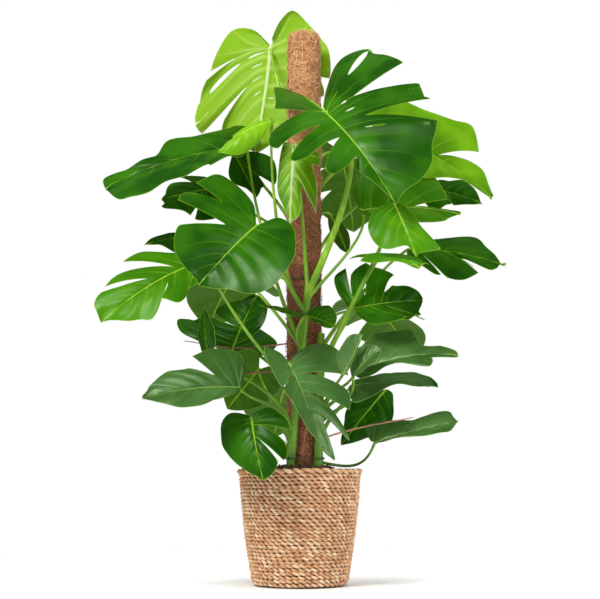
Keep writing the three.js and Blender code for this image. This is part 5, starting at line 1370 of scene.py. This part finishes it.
def build_leaf(name, leaf):
    """One blade as a closed thin sheet, its midrib standing out below."""
    points, marks, borders, faces = blade_surface(name, leaf)
    normals = point_normals(points, faces)
    rim = rim_of(faces)
    rim_points = np.array([points[a] * (1 - t) + points[b] * t for a, b in rim for t in (0, 0.5)])
    for start in range(0, len(points), 500):
        part = points[start:start + 500]
        apart = np.linalg.norm(part[:, None] - rim_points[None], axis=-1).min(axis=1)
        borders[start:start + 500, 1] = apart
    away, along = borders[:, 0], borders[:, 2]
    deep, spread = BLADE["rib"]
    ridge = deep * np.exp(-((away / spread) ** 2)) * np.clip(1 - 0.8 * along, 0.1, 1)
    ridge = ridge + 0.5 * deep * np.exp(-((away**2 + (along * 150) ** 2) / 40))
    thin = BLADE["thick"] / 2
    count = len(points)
    sheet = np.vstack([points + normals * thin, points - normals * (thin + ridge)[:, None]])
    walls = [[b, a, a + count, b + count] for a, b in rim]
    back = [[k + count for k in face[::-1]] for face in faces]
    piece = mesh_piece(name + "_blade", sheet * MM, faces + back + walls)
    taper = away / np.clip(1.5 - along, 0.35, 1.5)
    below = np.repeat([0.0, 1.0], count)
    vector_mark(piece, "veins", np.vstack([marks, marks]))
    vector_mark(piece, "borders", np.column_stack([np.tile(taper, 2), np.tile(borders[:, 1], 2), below]))
    if leaf.get("light"):
        return finish_piece(piece, LEAF_YOUNG if name in YOUNG_LEAVES else LEAF_LIGHT, "leaf_light", name)
    look = LEAF_DULL_SHEEN if name in DULL_SHEEN_LEAVES else LEAF_FRESH if name in FRESH_LEAVES else LEAF_DARK
    return finish_piece(piece, look, "leaf_dark", name)


for leaf_name, leaf_values in LEAVES.items():
    build_leaf(leaf_name, leaf_values)


# Stems and petioles

def stem_path(name, share):
    """Places on a stem at shares of the way up, in millimetres."""
    turn, wind, top, radius = STEMS[name]
    share = np.asarray(share, float)
    reach = POLE["radius"] + STEM["lump"] + radius + STEM["clear"]
    angle = np.radians(turn + wind * share)
    return np.stack([
        POLE["x"] + reach * np.sin(angle),
        POLE["y"] - reach * np.cos(angle),
        STEM["foot"] + (top - STEM["foot"]) * share,
    ], -1)


def stem_point(name, height):
    """The place on a stem at a height, or its top."""
    return stem_path(name, min(1, (height - STEM["foot"]) / (STEMS[name][2] - STEM["foot"])))


def petiole_path(leaf, count):
    """From the stem upwards and out, then up to the blade from its underside."""
    axes, _ = leaf_frame(leaf)
    along, up = axes[:, 1], axes[:, 2]
    start, knot = stem_point(leaf["stem"], leaf["start"]), np.array(leaf["knot"], float)
    span = np.linalg.norm(knot - start)
    outward = np.array([start[0] - POLE["x"], start[1] - POLE["y"], 0])
    outward /= np.linalg.norm(outward)
    leave = start + outward * span * 0.16 + (0, 0, span * 0.42)
    reach = min(110, span * 0.4)
    arrive = knot - up * reach * 0.8 - along * reach * 0.45 + np.array(leaf.get("via", (0, 0, 0)))
    if "swing" in leaf:
        leave, arrive = np.array(leaf["swing"], float)
    t = np.linspace(0, 1, count + 1)[:, None]
    return start * (1 - t) ** 3 + 3 * leave * t * (1 - t) ** 2 + 3 * arrive * t**2 * (1 - t) + knot * t**3


def build_vine(name):
    """A climbing stem with a ring below each petiole, and its petioles, grooved along their inner side."""
    turn, wind, top, radius = STEMS[name]
    share = np.linspace(0, 1, 121)
    heights = STEM["foot"] + (top - STEM["foot"]) * share
    starts = [leaf["start"] for leaf in LEAVES.values() if leaf["stem"] == name]
    swell = sum(0.09 * np.exp(-(((heights - start + 6) / 5) ** 2)) for start in starts)
    scar = sum(-0.05 * np.exp(-(((heights - start + 15) / 2.5) ** 2)) for start in starts)
    parts = [tube_parts(stem_path(name, share), radius * (1 - 0.2 * share) * (1 + swell + scar), 18)]
    for leaf in LEAVES.values():
        if leaf["stem"] != name:
            continue
        path = petiole_path(leaf, PETIOLE["steps"])
        t = np.linspace(0, 1, PETIOLE["steps"] + 1)
        base = leaf.get("petiole", PETIOLE["base"])
        thin = max(PETIOLE["knot"], leaf.get("petiole", 0) * PETIOLE["taper"])
        radii = base + (thin - base) * np.minimum(1, t * 1.2)
        radii = radii * (1 + 0.22 * np.exp(-(((t - 0.955) / 0.03) ** 2)))
        angle = 2 * np.pi * np.arange(PETIOLE["sides"]) / PETIOLE["sides"]
        groove = np.exp(-(((angle - np.pi) / 0.5) ** 2))[None]
        shape = 1 - groove * (PETIOLE["groove"] * np.clip(1.1 - t * 1.6, 0.12, 1))[:, None]
        parts.append(tube_parts(path, radii, PETIOLE["sides"], shape=shape))
    points, faces = gather(parts)
    piece = mesh_piece(f"vine_{name}_skin", points * MM, faces, 60)
    return finish_piece(piece, STEM_GREEN, "stem", f"vine_{name}")


def build_root(name, stem, height, passes, radius):
    """An uneven aerial root that leaves a stem and tapers to its tip."""
    path = smooth_path([stem_point(stem, height), *passes], ROOT["steps"])
    count = len(path)
    t = np.linspace(0, 1, count)
    radii = radius * (1 - ROOT["taper"] * t) * (1 + ROOT["uneven"] * dice.standard_normal(count))
    radii[-1] *= ROOT["tip"]
    points, faces = tube_parts(path + dice.normal(0, ROOT["waver"], (count, 3)), radii, ROOT["sides"])
    piece = mesh_piece(name + "_bark", points * MM, faces, 60)
    return finish_piece(piece, ROOT_PALE if name == "aerial_root_right" else ROOT_BARK, "root", name)


for stem_name in STEMS:
    build_vine(stem_name)
for root_name, root_values in ROOTS.items():
    build_root(root_name, *root_values)


# Ties round the pole and the stems

def hull_of(spots):
    """The convex outline of flat points, turning left."""
    spots = sorted(map(tuple, spots))
    halves = []
    for order in (spots, spots[::-1]):
        line = []
        for p in order:
            while len(line) > 1:
                (ax, ay), (bx, by) = line[-2], line[-1]
                if (bx - ax) * (p[1] - ay) - (by - ay) * (p[0] - ax) > 0:
                    break
                line.pop()
            line.append(p)
        halves += line[:-1]
    return halves


def build_tie(name, height):
    """Two wires twisted round each other, tight round the pole and its stems, with two tails in front."""
    turn = np.linspace(0, 2 * np.pi, 24, endpoint=False)
    circle = np.column_stack([np.cos(turn), np.sin(turn)])
    stand = TIE["radius"] + TIE["slack"]
    spots = [circle * (POLE["radius"] + STEM["lump"] + stand) + (POLE["x"], POLE["y"])]
    for stem_name, (_, _, top, radius) in STEMS.items():
        if height <= top:
            spots.append(circle * (radius + stand) + stem_point(stem_name, height)[:2])
    ring = [(x, y, height) for x, y in hull_of(np.vstack(spots))]
    path = smooth_path(ring, TIE["steps"], closed=True)[:-1]
    first, second = path_frames(path, closed=True)
    around = 2 * np.pi * TIE["turns"] * np.arange(len(path)) / len(path)
    strands = []
    for start in (0, np.pi):
        sway = np.cos(around + start)[:, None] * first + np.sin(around + start)[:, None] * second
        strands.append(tube_parts(path + sway * 0.75, TIE["radius"] * 0.62, TIE["sides"], closed=True))
    front = path[np.argmin(path[:, 1])]
    for lean in (-1, 1):
        tail = smooth_path([front + (0, -1, 0), front + (lean * 4, -5, 5), front + (lean * 9, -5, 11)], 12)
        strands.append(tube_parts(tail, TIE["radius"] * 0.6, TIE["sides"]))
    points, faces = gather(strands)
    piece = mesh_piece(name + "_wire", points * MM, faces, 60)
    return finish_piece(piece, TIE_COAT, "tie", name)


for tie_name, tie_height in TIES.items():
    build_tie(tie_name, tie_height)


# Coir pole: a lumpy mat round the core, with loose fibres all over it

def build_mat():
    """The mat, slightly uneven all the way up and rounded at the top."""
    low, top, radius, rings = POLE["low"], POLE["top"], POLE["radius"], POLE["rings"]
    profile = [(CORE_RADIUS + 0.5, low), (radius - 1.5, low)]
    for k in range(1, rings):
        profile.append((radius - 0.6 + 1.2 * math.sin(k * 1.9), low + (top - 14 - low) * k / rings))
    profile += [(radius - 1, top - 12), (radius - 5, top - 3), (radius - 14, top), (4, top + 1)]
    mat = turned_piece("coir_mat_body", profile, 60, (POLE["x"], POLE["y"]))
    roughen(mat, 0.012, 0.005, 1)
    finish_piece(mat, COIR, "coir", "coir_pole")


def build_fibres():
    """Loose curved fibres that lie on the pole in all directions, each in one shade."""
    parts, shades = [], []
    for _ in range(FIBRES["count"]):
        angle, z = dice.uniform(0, 2 * np.pi), dice.uniform(POLE["low"] + FIBRES["low"] + 10, POLE["top"] - 2)
        heading, curl = dice.uniform(-1.35, 1.35), dice.normal(0, 1.3)
        length, stand = dice.uniform(*FIBRES["length"]), dice.uniform(0.3, 2.2) + 3.2 * (dice.uniform() > 0.9)
        radius = dice.uniform(*FIBRES["radius"])
        t = np.linspace(-0.5, 0.5, 6)
        lift = stand + 1.2 * np.sin(t * 9 + angle * 3)
        turn = angle + np.sin(heading + curl * t) * t * length / POLE["radius"]
        height = z + np.cos(heading + curl * t) * t * length * 0.8
        height = np.clip(height, POLE["low"] + FIBRES["low"], POLE["top"] + 1)
        near = POLE["radius"] - 0.5 + lift
        near = np.where(height > POLE["top"] - 4, near - 5, near)
        path = np.column_stack([POLE["x"] + near * np.sin(turn), POLE["y"] - near * np.cos(turn), height])
        points, faces = tube_parts(path, np.array([0.3, 0.8, 0.9, 0.85, 0.7, 0.2]) * radius, 3)
        parts.append((points, faces))
        shades += [(dice.uniform(0, 1), height.mean() * MM, 0)] * len(points)
    points, faces = gather(parts)
    fibres = mesh_piece("coir_fibres", points * MM, faces, 80)
    vector_mark(fibres, "fibre", shades)
    finish_piece(fibres, FIBRE, "coir")


build_mat()
build_fibres()


# Basket: rows of two grass strands twined round each other, on a shaded wall, with a thick rope rim

def basket_radius(z):
    """Outer radius of the woven wall at a height."""
    rise = np.clip(z / BASKET["height"], 0, 1)
    low = BASKET["shoulder"] + (BASKET["mouth"] - BASKET["shoulder"]) * rise
    foot = np.clip(1 - z / BASKET["curl"], 0, 1)
    return low + BASKET["belly"] * np.sin(np.pi * rise) - foot * foot * (BASKET["shoulder"] - BASKET["base"])


def twined_ring(radius, z, strand, twist, turns, phase):
    """Two strands twined into one ring.

    Marks at each point: share along, share around, shade, and how far out it lies.
    """
    steps, sides = turns * WEAVE["steps"], WEAVE["sides"]
    angle = 2 * np.pi * np.arange(steps) / steps
    outward = np.column_stack([np.sin(angle), -np.cos(angle), np.zeros(steps)])
    side = 2 * np.pi * np.arange(sides) / sides
    parts, marks = [], []
    for start in (0, np.pi):
        uneven = 0.2 * np.sin(angle * 3 + phase) + 0.14 * np.sin(angle * 7 + start)
        sway = turns * angle + start + phase + uneven
        out = radius + twist * np.cos(sway) + 0.35 * np.sin(angle * 3 + phase) + dice.normal(0, 0.12, steps)
        high = z - twist * 0.75 * np.sin(sway) + 0.5 * np.sin(angle * 5 + phase) + dice.normal(0, 0.3, steps)
        centre = outward * out[:, None] + np.outer(high, (0, 0, 1))
        size = strand * (1 + 0.2 * np.cos(sway * 2) + dice.normal(0, 0.06, steps))
        round_it = outward[:, None] * np.cos(side)[None, :, None] + np.outer(np.sin(side), (0, 0, 1))
        points = (centre[:, None] + round_it * size[:, None, None]).reshape(-1, 3)
        here = np.arange(steps)[:, None] * sides
        near, far = np.arange(sides), (np.arange(sides) + 1) % sides
        ahead = (here + sides) % (steps * sides)
        faces = np.stack([here + near, ahead + near, ahead + far, here + far], -1).reshape(-1, 4).tolist()
        parts.append((points, faces))
        shade = dice.uniform(0, 1, turns)[np.floor((sway + np.pi) / (2 * np.pi)).astype(int) % turns]
        marks.append(np.stack([
            np.repeat(np.abs(angle - np.pi) * radius / 60, sides), np.tile(np.abs(np.sin(side / 2)), steps),
            np.repeat(shade, sides),
        ], -1))
    points, faces = gather(parts)
    lie = (np.hypot(points[:, 0], points[:, 1]) - radius) / (twist + strand)
    return points, faces, np.vstack(marks), lie


def woven_piece(name, rings, *nodes):
    """One piece of seagrass from several twined rings."""
    points, faces = gather([ring[:2] for ring in rings])
    piece = mesh_piece(name, points * MM, faces, 80)
    vector_mark(piece, "strand", np.vstack([ring[2] for ring in rings]))
    vector_mark(piece, "lie", np.concatenate([ring[3] for ring in rings])[:, None] * (1, 0, 0))
    return finish_piece(piece, SEAGRASS, "seagrass", *nodes)


def weave_basket():
    """The wall in two pieces, the rope round its rim, and the underside."""
    rows, rings = WEAVE["rows"], []
    pitch = (BASKET["height"] - WEAVE["spare"]) / rows
    for k in range(rows):
        z = WEAVE["low"] + pitch * (k + 0.5)
        radius = float(basket_radius(z)) - WEAVE["strand"] * 0.8
        turns = round(WEAVE["turns"] * radius / BASKET["mouth"])
        phase = (k % 2) * np.pi / 2 + dice.normal(0, 0.6)
        rings.append(twined_ring(radius, z, WEAVE["strand"], WEAVE["twist"], turns, phase))
    woven_piece("basket_weave_low", rings[:rows // 2], "basket")
    woven_piece("basket_weave_high", rings[rows // 2:])
    radius, z = BASKET["mouth"] - RIM["inset"], BASKET["height"] - RIM["drop"]
    woven_piece("basket_rim", [twined_ring(radius, z, RIM["strand"], RIM["twist"], RIM["turns"], 0.4)])
    rings = []
    for k in range(UNDERSIDE["rings"]):
        radius = BASKET["base"] - 4 - UNDERSIDE["apart"] * k
        turns = max(3, UNDERSIDE["turns"] - 2 * k)
        strand, twist = UNDERSIDE["strand"], UNDERSIDE["twist"]
        rings.append(twined_ring(radius, UNDERSIDE["height"], strand, twist, turns, k * 1.3))
    woven_piece("basket_underside", rings)


def build_liner():
    """The shaded wall behind the weave, with the basket's floor."""
    inner = BASKET["mouth"] - BASKET["wall"] + 1
    profile = [(BASKET["base"] - 5, 1.6)]
    profile += [(float(basket_radius(z)) - 4.4, z) for z in (8, 18, 60, 110, 160, 210, POT["rim"])]
    profile += [(inner, POT["rim"])]
    profile += [(float(basket_radius(z)) - BASKET["wall"], z) for z in (200, 140, 80, 20)]
    profile += [(BASKET["base"], BASKET["floor"])]
    finish_piece(turned_piece("basket_liner", profile, 96), LINER, "seagrass")


weave_basket()
build_liner()


# Nursery pot, soil and bark

def build_pot():
    """The plastic pot that the basket hides, with a band round its rim."""
    foot, mouth, rim, band = BASKET["floor"] + 0.35, POT["mouth"], POT["rim"], POT["band"]
    profile = [
        (POT["foot"], foot), (mouth - 2, rim - band), (POT["lip"], rim - band + 1),
        (POT["lip"], rim), (mouth - 3, rim), (mouth - 3 - POT["wall"], rim - band),
        (POT["foot"] - POT["wall"], foot + POT["floor"]),
    ]
    finish_piece(turned_piece("nursery_pot_shell", profile, 96), POT_PLASTIC, "pot", "nursery_pot")


def build_soil():
    """The soil, heaped towards the pole."""
    profile = [(90, 12), (SOIL["wall"], SOIL["edge"] - 8), (SOIL["wall"] - 4, SOIL["edge"]), (105, 265)]
    for radius, drop in ((96, 14), (80, 8), (66, 4), (50, 3), (36, 2), (20, 2), (6, 2)):
        profile.append((radius, SOIL["crown"] - drop))
    soil = turned_piece("soil_bed", profile, 72)
    roughen(soil, 0.011, 0.006, 1)
    finish_piece(soil, EARTH, "soil", "soil")


def soil_height(distance):
    """Height of the soil at a distance from the middle."""
    crown = SOIL["crown"]
    table = [(0, crown - 2), (66, crown - 4), (96, crown - 14), (SOIL["wall"], SOIL["edge"] - 2)]
    return np.interp(distance, *zip(*table))


def build_chips():
    """One rough chip, copied over the soil at many sizes and turns."""
    deselect()
    bpy.ops.mesh.primitive_ico_sphere_add(subdivisions=1, radius=1)
    chip = bpy.context.object
    bpy.ops.object.mode_set(mode="EDIT")
    bpy.ops.mesh.select_all(action="SELECT")
    bpy.ops.transform.resize(value=CHIPS["form"])
    bpy.ops.object.mode_set(mode="OBJECT")
    corners = np.array([v.co for v in chip.data.vertices])
    sides = [list(p.vertices) for p in chip.data.polygons]
    bpy.data.objects.remove(chip)
    parts = []
    for _ in range(CHIPS["count"]):
        distance, angle = CHIPS["reach"] * math.sqrt(dice.uniform(0.02, 1)), dice.uniform(0, 2 * np.pi)
        x, y = distance * math.sin(angle), -distance * math.cos(angle)
        turn = np.linalg.qr(dice.normal(size=(3, 3)))[0]
        turn *= np.sign(np.linalg.det(turn))
        size = dice.uniform(*CHIPS["size"])
        shape = corners * size * (1 + dice.normal(0, CHIPS["uneven"], corners.shape))
        parts.append((shape @ turn.T + (x, y, soil_height(distance) + 0.6), sides))
    points, faces = gather(parts)
    finish_piece(mesh_piece("bark_chips", points * MM, faces, 30), BARK, "soil")


build_pot()
build_soil()
build_chips()

# The tube inside the pole keeps its CAD mesh and only takes a plastic of its own.
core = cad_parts["pole_core"]
core.data.materials.clear()
core.data.materials.append(CORE_PLASTIC)


# Floor, light and camera

def build_floor():
    """A pale floor that fades into the white background away from the plant."""
    deselect()
    bpy.ops.mesh.primitive_circle_add(vertices=96, radius=6, fill_type="NGON", location=(0, 0, 0))
    floor = bpy.context.object
    floor.name = floor.data.name = "floor"
    s = Shader("pale_floor")
    where = s.add("ShaderNodeVectorMath", operation="LENGTH")
    s.join(s.place(), where.inputs[0])
    far = s.fade(where.outputs["Value"], 0.35, 1.6)
    s.surface.inputs["Base Color"].default_value = (0.93, 0.93, 0.93, 1)
    s.surface.inputs["Roughness"].default_value = 0.9
    s.surface.inputs["Specular IOR Level"].default_value = 0.0
    white = s.add("ShaderNodeEmission")
    white.inputs["Color"].default_value = (1, 1, 1, 1)
    s.blend(far, s.surface.outputs["BSDF"], white.outputs["Emission"])
    floor.data.materials.append(s.material)


def soft_light(name, place, target, size, power, gloss):
    """A round soft light. gloss: whether glossy surfaces mirror it."""
    lamp = bpy.data.lights.new(name, "AREA")
    lamp.shape = "DISK"
    lamp.size = size
    lamp.energy = power
    holder = bpy.data.objects.new(name, lamp)
    holder.location = place
    holder.visible_glossy = gloss
    holder.rotation_euler = facing(place, target)
    bpy.context.scene.collection.objects.link(holder)


def white_room():
    """White where the camera sees it, dimmer in what lights the plant and dimmer still in its gloss."""
    world = bpy.data.worlds.new("white_room")
    world.use_nodes = True
    tree = world.node_tree
    grounds = []
    for strength in (ROOM["light"], ROOM["gloss"], 1.0):
        ground = tree.nodes.new("ShaderNodeBackground")
        ground.inputs["Color"].default_value = (1, 1, 1, 1)
        ground.inputs["Strength"].default_value = strength
        grounds.append(ground.outputs["Background"])
    path = tree.nodes.new("ShaderNodeLightPath")
    shown = grounds[0]
    for ray, ground in zip(("Is Glossy Ray", "Is Camera Ray"), grounds[1:]):
        both = tree.nodes.new("ShaderNodeMixShader")
        tree.links.new(path.outputs[ray], both.inputs["Fac"])
        tree.links.new(shown, both.inputs[1])
        tree.links.new(ground, both.inputs[2])
        shown = both.outputs["Shader"]
    tree.links.new(shown, tree.nodes["World Output"].inputs["Surface"])
    bpy.context.scene.world = world


def facing(place, target):
    """The turn of something at place that faces target."""
    return (Vector(target) - Vector(place)).to_track_quat("-Z", "Y").to_euler()


build_floor()
white_room()
for light_name, light_values in LIGHTS.items():
    soft_light(light_name, *light_values)

camera_data = bpy.data.cameras.new("camera")
camera_data.lens = CAMERA["lens"]
camera_data.sensor_width = CAMERA["sensor"]
camera_data.clip_end = CAMERA["far"]
camera = bpy.data.objects.new("camera", camera_data)
camera.location = CAMERA["place"]
camera.rotation_euler = facing(CAMERA["place"], CAMERA["target"])
bpy.context.scene.collection.objects.link(camera)
bpy.context.scene.camera = camera
bpy.context.scene.view_settings.view_transform = "Standard"
